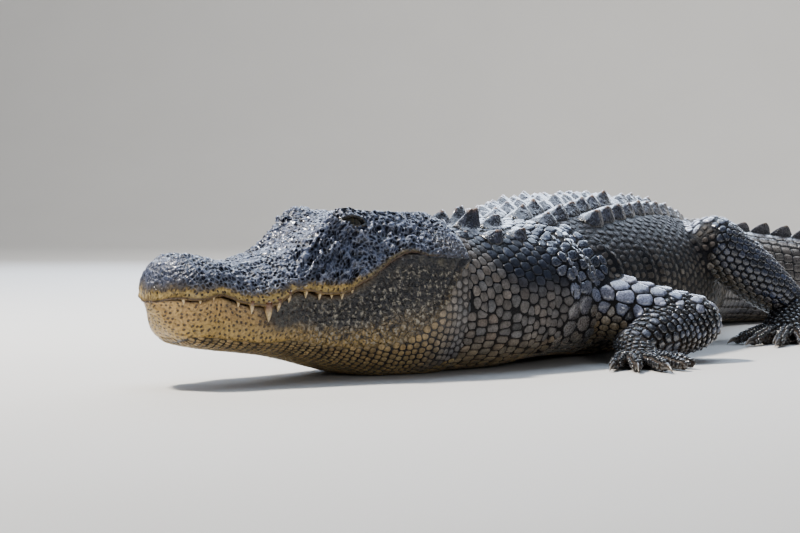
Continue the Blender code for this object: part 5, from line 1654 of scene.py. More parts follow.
# Plates darken toward the rim, a painted shade where they dip into the gaps, and the crown is a little
# paler, a painted highlight.
RIM_PAINTED_SHADE, CROWN_PAINTED_LIGHT = 0.3, 1.06
MARK_SIZE = 0.0015


def tangent_axes(seeds):
    normal = seeds["normal"]
    ahead = seeds["ahead"] - normal * (seeds["ahead"] * normal).sum(1, keepdims=True)
    weak = np.linalg.norm(ahead, axis=1) < 1e-3
    ahead[weak] = np.cross(normal[weak], (0.0, 1.0, 0.3))
    ahead = unit(ahead)
    return ahead, np.cross(normal, ahead)


def neighbour_table(points):
    tree = search_tree(points)
    return np.array([[j for _, j, _ in tree.find_n(p, NEIGHBOURS + 1)][1:] for p in points])


PLATE_X, PLATE_Y = tangent_axes(PLATES)
TABLE = neighbour_table(PLATES["point"])
REACH = 0.5 * np.minimum(PLATES["long"], PLATES["wide"])


def outlines(which, rays):
    """Distance from seed to rim along each ray, for the chosen plates."""
    turn = np.arange(rays) * 2 * math.pi / rays
    offset = PLATES["point"][TABLE[which]] - PLATES["point"][which][:, None]
    far = np.linalg.norm(offset, axis=2)
    x = np.einsum("nmk,nk->nm", offset, PLATE_X[which])
    y = np.einsum("nmk,nk->nm", offset, PLATE_Y[which])
    stretch = far / np.maximum(np.hypot(x, y), 1e-6)
    x, y = x * stretch, y * stretch
    weight = np.minimum(REACH, 0.008) ** 2
    half_way = 0.5 * (far ** 2 + 0.8 * (weight[which][:, None] - weight[TABLE[which]]))
    toward = x[..., None] * np.cos(turn) + y[..., None] * np.sin(turn)
    nearness = np.where(toward > 1e-5, toward / np.maximum(half_way, 1e-8)[..., None], 0.0)
    oval = np.hypot(np.cos(turn) / (0.74 * PLATES["long"][which][:, None]),
                    np.sin(turn) / (0.74 * PLATES["wide"][which][:, None]))
    nearness = np.concatenate([nearness, oval[:, None, :]], 1)
    power = PLATES["corner"][which][:, None]
    rim = 1.0 / np.maximum(((nearness ** power[..., None]).sum(1)) ** (1.0 / power), 1e-6)
    return np.maximum(rim - 0.5 * PLATES["gap"][which][:, None], 0.0012), turn


def raise_plates(name, which, rays, rings):
    """One joined mesh of the chosen plates. Rings are (share of the rim, share of the height)."""
    rim, turn = outlines(which, rays)
    count = len(which)
    x_axis, y_axis = PLATE_X[which][:, None, None], PLATE_Y[which][:, None, None]
    shares = np.array([share for share, _ in rings])
    heights = np.array([height for _, height in rings])
    reach = rim[:, None, :] * shares[None, :, None]
    local_x, local_y = reach * np.cos(turn), reach * np.sin(turn)
    flat = PLATES["point"][which][:, None, None] + local_x[..., None] * x_axis + local_y[..., None] * y_axis
    seat_at, seat_out, _ = snap(flat)
    half = np.maximum(rim.max(1), 1e-4)[:, None, None]
    tall = PLATES["tall"][which][:, None, None]
    lift = tall * heights[None, :, None] * (1.0 - PLATES["lean"][which][:, None, None] * local_x / half)
    ridge = np.clip(1 - np.abs(local_y) / (0.42 * half), 0, 1) * (1 - 0.6 * local_x / half)
    lift = lift + PLATES["keel"][which][:, None, None] * ridge * heights[None, :, None]
    rough = 1.0 + 0.1 * rng.normal(size=lift.shape) * (heights[None, :, None] > 0.5)
    lift = lift * rough
    top_at, top_out, _ = snap(PLATES["point"][which])
    top = top_at + top_out * (PLATES["tall"][which] * 1.04 + PLATES["keel"][which])[:, None]
    rings_at = seat_at + seat_out * lift[..., None]
    root = seat_at[:, :1] - seat_out[:, :1] * PLATE_SINK
    verts = np.concatenate([root, rings_at], 1).reshape(count, -1, 3)
    verts = np.concatenate([verts, top[:, None]], 1)
    verts[..., 2] = np.maximum(verts[..., 2], 0.0004)
    per = verts.shape[1]
    tints = plate_tints(which, rays, np.append(0.0, heights))
    places = np.stack([local_x, local_y], -1).reshape(count, -1, 2)
    places = np.concatenate([places[:, :rays], places, np.zeros((count, 1, 2))], 1)
    marks = PLATES["mark"][which][:, None] + places * (MARK_SIZE / half)
    shape = plate_faces(count, rays, len(rings) + 1, per)
    made = build_mesh(name, verts.reshape(-1, 3), shape, tints, marks.reshape(-1, 2)[shape[0]])
    print(name, "plates:", count, "triangles:", sum(len(p.vertices) - 2 for p in made.data.polygons))
    return made


def plate_faces(count, rays, levels, per):
    """Walls between rings, a fan to the crown and a floor, repeated for every plate."""
    faces = [tuple(range(rays))[::-1]]
    for level in range(levels - 1):
        for k in range(rays):
            m = (k + 1) % rays
            a = level * rays
            faces.append((a + k, a + m, a + rays + m, a + rays + k))
    last = (levels - 1) * rays
    faces += [(last + k, last + (k + 1) % rays, per - 1) for k in range(rays)]
    return repeat_faces(faces, count, per)


def plate_tints(which, rays, heights):
    """Painted shade on the rims, where plates dip into the gaps, and a slight painted highlight on the
    crowns.
    """
    base = PLATES["tint"][which][:, None, None]
    share = soft_step(0.05, 0.85, np.tile(np.clip(heights, 0, 1)[:, None], (len(which), 1, rays)))
    tint = mix(base * RIM_PAINTED_SHADE, base, share)
    return np.concatenate([tint.reshape(len(which), -1, 3), base[:, 0] * CROWN_PAINTED_LIGHT], 1)


LARGE_RINGS = ((1.0, 0.25), (0.93, 0.66), (0.76, 0.92), (0.42, 1.02))
SMALL_RINGS = ((1.0, 0.28), (0.88, 0.76), (0.55, 1.0))


def left_of_spine(points):
    near = np.array([np.argmin(((p[:2] - SPINE_PLAN) ** 2).sum(1)) for p in points])
    _, _, left = spine_frame(SPINE_AT[near])
    return ((points[:, :2] - SPINE_PLAN[near]) * left).sum(1) > 0


def group_pieces():
    """The coat pieces by region, with finer rings where plates are large or close to the eye."""
    made = {}
    group, point = PLATES["group"], PLATES["point"]
    left = point[:, 1] > 0
    plans = [("neck_plates", group == "neck", 12, LARGE_RINGS),
             ("throat_plates", group == "throat", 10, SMALL_RINGS),
             ("shoulder_plates", group == "shoulder", 12, LARGE_RINGS),
             ("flank_plates_left", (group == "flank") & left, 10, SMALL_RINGS),
             ("flank_plates_right", (group == "flank") & ~left, 10, SMALL_RINGS),
             ("belly_plates", group == "belly", 12, SMALL_RINGS),
             ("tail_plates_left", (group == "tail") & left_of_spine(point), 12, SMALL_RINGS),
             ("tail_plates_right", (group == "tail") & ~left_of_spine(point), 12, SMALL_RINGS)]
    for kind in ("front", "hind"):
        for side in ("left", "right"):
            arm = f"{kind}_{side}"
            plans.append((f"{arm}_leg_plates", group == arm, 12, LARGE_RINGS))
            plans.append((f"{arm}_foot_plates", group == arm + "_foot", 10, SMALL_RINGS))
    for name, mask, rays, rings in plans:
        made[name] = raise_plates(name, np.flatnonzero(mask), rays, rings)
    return made


COAT = group_pieces()
print("coat pieces:", len(COAT))

# %% [markdown]
# The shield of the back: broad scutes in straight rows, each a plate of bone under horn with a
# sharp keel. Each is a small grid whose middle column is the keel, because a grid keeps a crisp
# crest where a dome of rings would round it. The keel climbs from the front and drops behind.
# %% Keeled scutes of the back and neck
SCUTE_LONG, SCUTE_WIDE = 21, 19
SCUTE_BASE = 0.0026
KEEL_PROFILE = (
    (-1.0, 0.34), (-0.9, 0.74), (-0.72, 0.96), (-0.45, 1.0), (-0.05, 0.88), (0.4, 0.58),
    (0.8, 0.26), (1.0, 0.1),
)
SCUTE_SEED, CREST_SEED = 700, 300
GRAIN_SCALE = 260.0


def scute_grid(s, arc, length, width, keel, seed):
    """Points of one scute: a grid of its top, a border sunk in the skin and its colours."""
    at, ahead, aside, _ = skin_frame(s, arc)
    b = np.linspace(-1, 1, SCUTE_WIDE)
    a, b = np.meshgrid(np.linspace(-1, 1, SCUTE_LONG), np.sign(b) * np.abs(b) ** 1.25, indexing="ij")
    local = np.random.default_rng(seed)
    skew, wave = local.normal(0, 0.05, 2), local.uniform(0, 6.28)
    x = a * 0.5 * length * np.sqrt(1 - 0.34 * b ** 2) + skew[0] * length * b ** 2 * 0.3
    y = b * 0.5 * width * np.sqrt(1 - 0.34 * a ** 2) * (1 + 0.05 * np.sin(3 * a + wave))
    flat = at + x[..., None] * ahead + y[..., None] * aside
    seat_at, seat_out, _ = snap(flat)
    edge = np.maximum(np.abs(a), np.abs(b))
    dome = 0.3 + 0.7 * (1 - np.clip((edge - 0.55) / 0.45, 0, 1) ** 2)
    fin = soft_step(0.0145, 0.019, keel)
    flank = np.clip(1.05 - np.hypot(b, 0.05) / (0.95 - 0.3 * fin), 0, 1) ** (1.15 + 0.25 * fin)
    tall = keel * (1 + local.normal(0, 0.14)) * (0.55 if local.random() < 0.12 else 1.0)
    nick = 1 + 0.05 * np.sin(a * local.uniform(6, 10) + wave)
    ridge = tall * flank * smooth(KEEL_PROFILE, a) * nick
    spots = (flat * GRAIN_SCALE).reshape(-1, 3)
    rough = noise_at(spots, 1.0).reshape(a.shape)
    pits = np.array([noise.voronoi(Vector(p) * 0.72)[0][0] for p in spots]).reshape(a.shape)
    lift = SCUTE_BASE * dome + ridge + 0.0009 * rough * (edge < 0.95)
    lift = lift - 0.0009 * np.clip(0.35 - pits, 0, 1) / 0.35
    up = unit(seat_out * 0.5 + seat_out[SCUTE_LONG // 2, SCUTE_WIDE // 2] * 0.5)
    top = seat_at + up * lift[..., None] - ahead * (ridge * 0.16)[..., None]
    sharp = np.clip(ridge / max(tall, 1e-4), 0, 1)
    # worn is partly wear and partly painted light: pale tan along the sharp keel crests, where the edges
    # catch the light.
    worn = soft_step(0.78, 0.98, sharp * (1 + 0.25 * rough))
    tint = mix(srgb(24, 25, 33), srgb(58, 61, 78), 0.5 + 0.9 * rough)
    # Painted shade in the pits, which are also sunk in the surface.
    tint = mix(tint, srgb(22, 22, 28), soft_step(0.3, 0.05, pits) * 0.8)
    tint = mix(tint, srgb(158, 122, 88), 0.75 * worn)
    tint = mix(tint, srgb(14, 13, 16), soft_step(0.84, 1.0, edge))
    mark = np.stack([strip(s) + x * 0.068, 0.5 + 1.6 * arc + y * 0.068], -1)
    border = seat_at - seat_out * 0.0015
    return top, border, tint, mark


def scute_faces():
    """Top quads, a skirt round them and a floor under them."""
    n, m = SCUTE_LONG, SCUTE_WIDE
    i, j = np.meshgrid(np.arange(n - 1), np.arange(m - 1), indexing="ij")
    quads = np.stack([i * m + j, (i + 1) * m + j, (i + 1) * m + j + 1, i * m + j + 1], -1).reshape(-1, 4)
    loop = [k for k in range(m)] + [k * m + m - 1 for k in range(1, n)]
    loop += [(n - 1) * m + k for k in range(m - 2, -1, -1)] + [k * m for k in range(n - 2, 0, -1)]
    first, count = n * m, len(loop)
    faces = [tuple(q) for q in quads.tolist()]
    for k in range(count):
        p = (k + 1) % count
        faces.append((loop[k], loop[p], first + p, first + k))
    faces.append(tuple(first + k for k in range(count)))
    return faces, loop


def make_scutes(name, places):
    faces, loop = scute_faces()
    verts, tints, marks = [], [], []
    for seed, (s, arc, length, width, keel) in enumerate(places):
        top, border, tint, mark = scute_grid(s, arc, length, width, keel, SCUTE_SEED + seed)
        verts.append(np.vstack([top.reshape(-1, 3), border.reshape(-1, 3)[loop]]))
        tints.append(np.vstack([tint.reshape(-1, 3), np.tile(INK * 0.5, (len(loop), 1))]))
        marks.append(np.vstack([mark.reshape(-1, 2), mark.reshape(-1, 2)[loop]]))
    shape = repeat_faces(faces, len(places), len(verts[0]))
    made = build_mesh(name, np.vstack(verts), shape, np.vstack(tints), np.vstack(marks)[shape[0]])
    print(name, "triangles:", sum(len(p.vertices) - 2 for p in made.data.polygons))
    return made


COAT["back_scutes"] = make_scutes("back_scutes", SCUTES)

# %% [markdown]
# The crests of the tail are thin upright blades of horn, twinned near the hips and single
# further back. Each is a stack of lens-shaped rings that shrink and shift back as they rise.
# %% Crests of the tail
CREST_LEVELS, CREST_AROUND = 10, 16


def crest_blade(s, arc, length, height, seed):
    """Rings of one blade from inside the skin to its worn tip."""
    at, ahead, aside, outward = skin_frame(s, arc)
    local = np.random.default_rng(seed)
    height = height * (1 + local.normal(0, 0.06))
    lean = 0.42 + local.normal(0, 0.05)
    turn = np.arange(CREST_AROUND) * 2 * math.pi / CREST_AROUND
    rings, level = [], []
    for k in np.linspace(-0.12, 1.0, CREST_LEVELS):
        rise = max(k, 0.0)
        half = 0.5 * length * (1 - rise ** 1.35) ** 0.75 + 0.0012
        thick = 0.5 * 0.2 * length * (1 - rise) ** 0.8 + 0.0007 + 0.001 * hill(rise, 0.12)
        middle = at + outward * (k * height - 0.0015) - ahead * (lean * height * rise ** 1.2)
        lens = np.sign(np.sin(turn)) * np.abs(np.sin(turn)) ** 1.3
        rings.append(middle + ahead * (half * np.cos(turn))[:, None] + aside * (thick * lens)[:, None])
        level.append(np.full(CREST_AROUND, rise))
    return np.array(rings), np.array(level)


def make_crests(places):
    verts, tints, marks = [], [], []
    for seed, (s, arc, length, height) in enumerate(places):
        rings, level = crest_blade(s, arc, length, height, CREST_SEED + seed)
        flat, level = rings.reshape(-1, 3), level.ravel()
        stain = noise_at(flat, 160.0)
        tint = mix(srgb(32, 32, 40), srgb(64, 62, 68), soft_step(0.1, 0.7, level) + 0.4 * stain)
        verts.append(flat)
        tints.append(mix(tint, srgb(140, 124, 106), soft_step(0.82, 1.0, level)))
        marks.append(np.array((strip(s), 0.5 + 1.6 * arc)) + np.stack([level * 0.003, stain * 0.001], 1))
    faces = [face[::-1] for face in tube_faces(CREST_LEVELS, CREST_AROUND)]
    shape = repeat_faces(faces, len(places), CREST_LEVELS * CREST_AROUND)
    return build_mesh("tail_crests", np.vstack(verts), shape, np.vstack(tints), np.vstack(marks)[shape[0]])


COAT["tail_crests"] = make_crests(CRESTS)
print("tail crests:", len(CRESTS))

# %% [markdown]
# Teeth and claws are the same simple idea: a stack of rings that shrinks to a point while its
# middle line bows. The upper teeth hang outside the lower jaw and rest against it, which is how
# this animal differs from its cousins. The inner three digits of each foot carry claws.
# %% Curved cones for teeth and claws


def cone_rings(root, tip, radius, bow, flat=1.0, levels=10, around=14, blunt=1.5):
    """Rings from root to tip. The middle line is pushed along bow; flat thins it sideways."""
    root, tip, bow = np.array(root), np.array(tip), np.array(bow)
    axis = (tip - root) / np.linalg.norm(tip - root)
    tall = bow - axis * (bow @ axis)
    tall /= max(np.linalg.norm(tall), 1e-9)
    side = np.cross(tall, axis)
    turn = np.arange(around) * 2 * math.pi / around
    rings, level = [], []
    for t in 1 - (1 - np.linspace(0, 1, levels)) ** 1.2:
        middle = root * (1 - t) + tip * t + bow * 4 * t * (1 - t)
        size = radius * max((1 - t ** blunt) ** 0.85, 0.035)
        rings.append(middle + (tall * np.cos(turn)[:, None] - side * (flat * np.sin(turn))[:, None]) * size)
        level.append(np.full(around, t))
    return np.array(rings), np.array(level)


def join_cones(name, cones, tint_of):
    """One mesh of many cones, tinted by how far each point is from the root."""
    verts = np.vstack([rings.reshape(-1, 3) for rings, _ in cones])
    levels = [level for _, level in cones]
    faces = [face[::-1] for face in tube_faces(*levels[0].shape)]
    shape = repeat_faces(faces, len(cones), levels[0].size)
    made = build_mesh(name, verts, shape, tint_of(verts, np.concatenate(levels).ravel()))
    print(name, "cones:", len(cones), "faces:", len(made.data.polygons))
    return made


# %% [markdown]
# Each tooth is rooted just inside the lip and points down along the side of the jaw, a little
# inward. Those near the swellings of the upper lip are the longest. The ivory is stained brown
# where it leaves the gum.
# %% Teeth
TOOTH_ROOT_RISE = 0.004
TOOTH_INSET = 0.002
IVORY = srgb(198, 174, 128)
GUM_BROWN = srgb(96, 58, 30)


def tooth_cones():
    cones = []
    for side in (1, -1):
        for number, (u, length) in enumerate(TEETH):
            edge = smooth(LIP_HALF_WIDTH, u)
            ahead_edge = smooth(LIP_HALF_WIDTH, u - 0.01 if u > 0.01 else 0.0)
            inward = np.array((edge - ahead_edge, -0.01)) / math.hypot(edge - ahead_edge, 0.01)
            lip = np.array(((1 - u), side * edge, smooth(LIP_RISE, u))) * HEAD_LENGTH
            push = np.array((-abs(inward[0]) * 0.6, side * inward[1], 0.0))
            root = lip + push * TOOTH_INSET + np.array((0, 0, TOOTH_ROOT_RISE))
            lean = 0.1 * length * math.sin(2.3 * number)
            tip = root + np.array((lean, -side * 0.06 * length, -(length + TOOTH_ROOT_RISE)))
            bow = (to_world(root - push) - to_world(root)) * 0.05 * length
            radius = 0.0015 + 0.235 * length
            cones.append(cone_rings(to_world(root), to_world(tip), radius, bow, 0.86, blunt=1.7))
    return cones


def tooth_tint(points, level):
    stain = noise_at(points, 420.0)
    return mix(mix(GUM_BROWN, IVORY, soft_step(0.22, 0.62, level + 0.12 * stain)), srgb(222, 206, 172),
               soft_step(0.75, 1.0, level) * 0.6)


teeth = join_cones("teeth", tooth_cones(), tooth_tint)

# %% [markdown]
# Claws replace the solids' plain cones one for one. Each is laterally thin, bowed upward, dark
# at the root and worn pale at the point, and grows out of the end of its digit.
# %% Claws
CLAW_REACH = 0.0235


def claw_cone(leg, number):
    finger = leg["fingers"][number - 1]
    end = finger.line(np.array(finger.length))
    way, _, _ = finger.frame(np.array(finger.length))
    root = end + way * (DIGIT_SIZES[2][0] - 0.0045)
    tip = end + way * (DIGIT_SIZES[2][0] + CLAW_REACH)
    root[2], tip[2] = max(root[2], 0.0062), 0.0012
    rings, level = cone_rings(root, tip, 0.005, (0.0, 0.0, 0.0034), 0.74, levels=12, around=16, blunt=1.25)
    rings[..., 2] = np.maximum(rings[..., 2], 0.0005)
    return rings, level


def claw_tint(points, level):
    grain = noise_at(points, 300.0)
    tint = mix(srgb(34, 29, 27), srgb(70, 60, 50), soft_step(0.2, 0.7, level + 0.25 * grain))
    return mix(tint, srgb(112, 100, 82), soft_step(0.72, 1.0, level + 0.06 * grain))


CLAWS = {}
for (kind, side), leg in LEGS.items():
    for number in (1, 2, 3):
        node = f"{'finger' if kind == 'front' else 'toe'}_claw_{side}_{number}"
        CLAWS[node] = join_cones("horn_" + node, [claw_cone(leg, number)], claw_tint)

# %% [markdown]
# The eye is a ball drawn out a little along the head, with a bulging cornea. The iris fills
# all that the lids leave open: dark olive gold, streaked outward from a pupil that is a thin
# upright slit in daylight. The colours are worked out per point from the distance to the slit.
# %% Eyes
EYE_RINGS, EYE_AROUND = 44, 72
PUPIL = (0.001, 0.0074)


def by_the_eye(side, x, y, z):
    """World places from distances along, across and out of one eye, with the lids' tilt."""
    local = x[..., None] * EYE_AHEAD + (y - LID_TILT * x)[..., None] * EYE_UP + z[..., None] * EYE_LOOK
    plan = local[..., :1] * HEAD_FORWARD + side * local[..., 1:2] * HEAD_LEFT
    return np.concatenate([plan, local[..., 2:]], -1) + eye_place(side)


def eye_ball(side):
    tilt = np.linspace(math.radians(2), math.radians(118), EYE_RINGS)[:, None]
    turn = (np.arange(EYE_AROUND) * 2 * math.pi / EYE_AROUND)[None, :]
    radius = EYE_RADIUS * 0.985 * (1 + 0.03 * np.exp(-(tilt / 0.5) ** 2))
    x = EYE_LONG * radius * np.sin(tilt) * np.cos(turn)
    y = radius * np.sin(tilt) * np.sin(turn)
    z = radius * np.cos(tilt) * np.ones_like(turn)
    fan = [np.broadcast_to(k, x.shape) for k in (np.cos(turn) * 9, np.sin(turn) * 9, np.hypot(x, y) * 260)]
    streak = noise_at(np.stack(fan, -1).reshape(-1, 3), 1.0).reshape(x.shape)
    far = np.hypot(x / EYE_LONG, y)
    iris = mix(srgb(52, 47, 27), srgb(28, 26, 18), 0.45 + 0.9 * streak)
    iris = mix(iris, srgb(70, 62, 38), hill(np.abs(x) - 0.0024, 0.0012) * 0.5)
    iris = mix(iris, srgb(22, 20, 14), soft_step(0.0085, 0.0125, far))
    slit = np.hypot(x / (PUPIL[0] * (1.25 - np.abs(y) / 0.012)), y / PUPIL[1])
    tint = mix(iris, srgb(4, 4, 4), 1 - soft_step(0.85, 1.15, slit))
    faces = tube_faces(EYE_RINGS, EYE_AROUND)
    shape = face_arrays(faces if side > 0 else [face[::-1] for face in faces])
    name = "eyeball_left" if side > 0 else "eyeball_right"
    return build_mesh(name, by_the_eye(side, x, y, z).reshape(-1, 3), shape, tint)


EYES = {"eye_left": eye_ball(1), "eye_right": eye_ball(-1)}
print("eyes:", {name: len(eye.data.polygons) for name, eye in EYES.items()})

# %% [markdown]
# A row of tiny pale beads edges each upper lid, and a finer one the lower lid. They are small
# flattened domes set on the lid's rim, where the almond of the opening is known by formula.
# %% Beads along the lids
BEAD_LEVELS, BEAD_AROUND = 6, 10
BEAD_BOW = (0.0, 0.0, 1e-5)


def lid_rim(side, count, upper):
    """World places along the rim of one lid, just outside the opening, and their outward ways."""
    x = np.linspace(-0.93, 0.93, count) * LID_OPENING[0] * 1.05
    tall = LID_OPENING[1] * (1.0 if upper else -0.8)
    y = tall * np.maximum(1.2 ** 1.5 - np.abs(x / LID_OPENING[0]) ** 1.7, 0.0) ** (1 / 1.4)
    z = np.sqrt(np.maximum((EYE_RADIUS + LID_THICKNESS) ** 2 - (x / EYE_LONG) ** 2 - y ** 2, 0.0))
    places, out, _ = snap(by_the_eye(side, x, y, z))
    return places, out


def lid_beads():
    cones = []
    for side in (1, -1):
        for upper, count, size in ((True, 17, 0.0012), (False, 19, 0.00085)):
            places, out = lid_rim(side, count, upper)
            for place, way in zip(places, out):
                grown = size * float(np.exp(rng.normal(0, 0.16)))
                root, tip = place - way * 0.0006, place + way * grown * 1.1
                cones.append(cone_rings(root, tip, grown, BEAD_BOW, 1.0, BEAD_LEVELS, BEAD_AROUND, 2.4))
    return cones


def bead_tint(points, level):
    grain = noise_at(points, 500.0)
    return mix(srgb(30, 28, 27), srgb(84, 78, 70), soft_step(0.05, 0.7, level + 0.3 * grain))


beads = join_cones("lid_beads", lid_beads(), bead_tint)

# %% [markdown]
# Every finish is grown round a Principled shader by one small helper, which keeps the node
# work readable: ask for a noise, stretch its range, multiply a colour, add a bump. Patterns are
# read from object coordinates, in metres, so a scale of 200 means a feature every 5 mm.
# %% A helper for finishes


def shader_of(made):
    made.use_nodes = True
    return made.node_tree.nodes["Principled BSDF"]


class Finish:
    """A node material built step by step."""

    def __init__(self, name, **sockets):
        self.made = bpy.data.materials.new(name)
        self.shader = shader_of(self.made)
        self.tree = self.made.node_tree
        self.where = self.node("ShaderNodeTexCoord").outputs["Object"]
        for socket, value in sockets.items():
            self.shader.inputs[socket.replace("_", " ").title().replace("Ior", "IOR")].default_value = value

    def node(self, kind, inputs=(), **settings):
        made = self.tree.nodes.new(kind)
        for key, value in settings.items():
            setattr(made, key, value)
        for socket, value in dict(inputs).items():
            if isinstance(value, bpy.types.NodeSocket):
                self.tree.links.new(value, made.inputs[socket])
            else:
                made.inputs[socket].default_value = value
        return made

    def layer(self, name):
        return self.node("ShaderNodeAttribute", attribute_name=name).outputs["Color"]

    def split(self, colour):
        return self.node("ShaderNodeSeparateColor", {"Color": colour}).outputs

    def bent(self, scale, reach, where=None):
        """Coordinates pushed about by noise, so that cells lose their regular look."""
        push = self.node("ShaderNodeTexNoise", {"Vector": self.where, "Scale": scale, "Detail": 2.0})
        inputs = {0: push.outputs["Color"], 1: (reach,) * 3, 2: where or self.where}
        return self.node("ShaderNodeVectorMath", inputs, operation="MULTIPLY_ADD").outputs[0]

    def noise(self, scale, detail=3.0, where=None):
        return self.node("ShaderNodeTexNoise", {"Vector": where or self.where, "Scale": scale,
                                                "Detail": detail}).outputs["Fac"]

    def cells(self, scale, where=None, edges=False, loose=1.0, flat=False):
        feature = "DISTANCE_TO_EDGE" if edges else "F1"
        return self.node("ShaderNodeTexVoronoi", {"Vector": where or self.where, "Scale": scale,
                                                  "Randomness": loose}, feature=feature,
                         voronoi_dimensions="2D" if flat else "3D").outputs["Distance"]

    def span(self, value, low, high, to_low, to_high):
        """Maps low..high onto to_low..to_high, softly and without overshoot."""
        return self.node("ShaderNodeMapRange", {"Value": value, "From Min": low, "From Max": high,
                                                "To Min": to_low, "To Max": to_high},
                         interpolation_type="SMOOTHSTEP").outputs["Result"]

    def sum(self, a, b, operation="ADD"):
        return self.node("ShaderNodeMath", {0: a, 1: b}, operation=operation).outputs[0]

    def times(self, a, b):
        return self.sum(a, b, "MULTIPLY")

    def dim(self, colour, value):
        """The colour multiplied by a number, darker below 1 and lighter above it."""
        return self.blend(colour, value, 1.0, "MULTIPLY")

    def blend(self, a, b, factor=1.0, kind="MIX"):
        return self.node("ShaderNodeMix", {0: factor, 6: a, 7: b}, data_type="RGBA",
                         blend_type=kind).outputs[2]

    def finish(self, colour, rough, *bumps):
        """Links the colour, the roughness and a chain of (height, metres) bumps."""
        self.tree.links.new(colour, self.shader.inputs["Base Color"])
        self.tree.links.new(rough, self.shader.inputs["Roughness"])
        normal = None
        for height, metres in bumps:
            inputs = {"Height": height, "Distance": metres, "Strength": 1.0}
            if normal:
                inputs["Normal"] = normal
            normal = self.node("ShaderNodeBump", inputs).outputs["Normal"]
        if normal:
            self.tree.links.new(normal, self.shader.inputs["Normal"])
        return self.made


# %% [markdown]
# The plates are horn: their own tint, clouded and flecked, with a fine grain that breaks the
# gloss. A thin clear coat stands for the wet shine. Plates of the underside are duller.
# %% Horn of the plates


def horn_finish(name, gloss, coat, grain=0.0005, film=0.24, shine=0.5):
    horn = Finish(name, coat_weight=coat, coat_roughness=film, specular_ior_level=shine, ior=1.5)
    cloud = horn.noise(75.0, 4.0)
    fleck = horn.noise(430.0, 4.0)
    colour = horn.dim(horn.layer("tint"), horn.span(cloud, 0.32, 0.68, 0.66, 1.22))
    colour = horn.dim(colour, horn.span(fleck, 0.34, 0.66, 0.7, 1.16))
    rough = horn.span(fleck, 0.3, 0.7, gloss - 0.08, gloss + 0.22)
    return horn.finish(colour, rough, (horn.noise(170.0, 3.0), grain * 2.2), (fleck, grain))


# %% [markdown]
# Hide of the head: the skin lies tight on pitted bone. Round pits about 3 mm wide and 5 mm
# apart cover the top, with painted shade inside them and a paler blue net of ridges between
# them that is a painted sky reflection. On the lips and chin there are small brown dots, and on
# the cheek fine cracks and specks take their place.
# %% Hide of the head
PITS_PER_METRE, DOTS_PER_METRE, CRACKS_PER_METRE = 196.0, 152.0, 120.0
RIDGE_SKY_GLINT, PIT_SHADE = (0.25, 0.29, 0.41, 1.0), (0.006, 0.006, 0.008, 1.0)
DOT_BROWN, CRACK_DARK = (0.035, 0.02, 0.012, 1.0), (0.018, 0.016, 0.016, 1.0)
SPECK_PALE, SPECK_DARK = (0.34, 0.31, 0.25, 1.0), (0.006, 0.006, 0.009, 1.0)


def head_finish():
    hide = Finish("head_hide", coat_roughness=0.12, ior=1.48)
    tint, masks = hide.layer("tint"), hide.split(hide.layer("hide"))
    flat = hide.layer("unrolled")
    bent = hide.bent(130.0, 0.004, flat)
    far = hide.cells(PITS_PER_METRE, bent, flat=True)
    edge = hide.cells(PITS_PER_METRE, bent, True, flat=True)
    spot = hide.cells(DOTS_PER_METRE, hide.bent(120.0, 0.0012, flat), loose=0.65, flat=True)
    crack = hide.cells(CRACKS_PER_METRE, hide.bent(90.0, 0.004), True)
    fine, grain = hide.noise(330.0, 4.0), hide.noise(900.0, 3.0)
    pit = hide.times(hide.span(far, 0.2, 0.44, 1.0, 0.0), masks[0])
    pit = hide.times(pit, hide.span(hide.noise(70.0, 3.0), 0.38, 0.58, 0.2, 1.0))
    net = hide.times(hide.span(edge, 0.02, 0.22, 1.0, 0.0), masks[0])
    dot = hide.times(hide.span(spot, 0.17, 0.28, 1.0, 0.0), masks[1])
    cut = hide.times(hide.span(crack, 0.0, 0.07, 1.0, 0.0), masks[2])
    colour = hide.dim(tint, hide.span(fine, 0.3, 0.7, 0.62, 1.3))
    speck = hide.noise(230.0, 2.0)
    pale = hide.times(hide.span(speck, 0.53, 0.63, 0.0, 0.75), masks[2])
    dark = hide.times(hide.span(speck, 0.36, 0.49, 0.9, 0.0), masks[2])
    colour = hide.blend(hide.blend(colour, SPECK_PALE, pale), SPECK_DARK, dark)
    # Painted sky reflection on the net of ridges, and painted shade in the pits.
    colour = hide.blend(colour, RIDGE_SKY_GLINT, hide.times(net, 0.64))
    colour = hide.blend(colour, PIT_SHADE, hide.times(pit, 0.86))
    colour = hide.blend(colour, DOT_BROWN, hide.times(dot, 0.88))
    colour = hide.blend(colour, CRACK_DARK, hide.times(cut, 0.6))
    rough = hide.sum(hide.span(fine, 0.3, 0.7, 0.24, 0.46), hide.times(pit, 0.25))
    film = hide.times(hide.span(pit, 0.0, 0.7, 0.42, 0.0), hide.span(masks[0], 0.0, 0.6, 0.3, 1.0))
    hide.tree.links.new(film, hide.shader.inputs["Coat Weight"])
    hide.tree.links.new(hide.span(pit, 0.0, 0.7, 0.55, 0.05), hide.shader.inputs["Specular IOR Level"])
    height = hide.sum(hide.times(net, 0.5), pit, "SUBTRACT")
    height = hide.sum(height, hide.sum(hide.times(dot, 0.35), hide.times(cut, 0.5)), "SUBTRACT")
    return hide.finish(colour, rough, (height, 0.003), (fine, 0.0013), (grain, 0.0003))


# %% [markdown]
# Folds between the plates are bare skin: dark, dull and finely wrinkled. Teeth, claws and eyes
# get finishes of their own, each from its painted tint with a grain that suits it.
# %% Skin, ivory, claw and eye


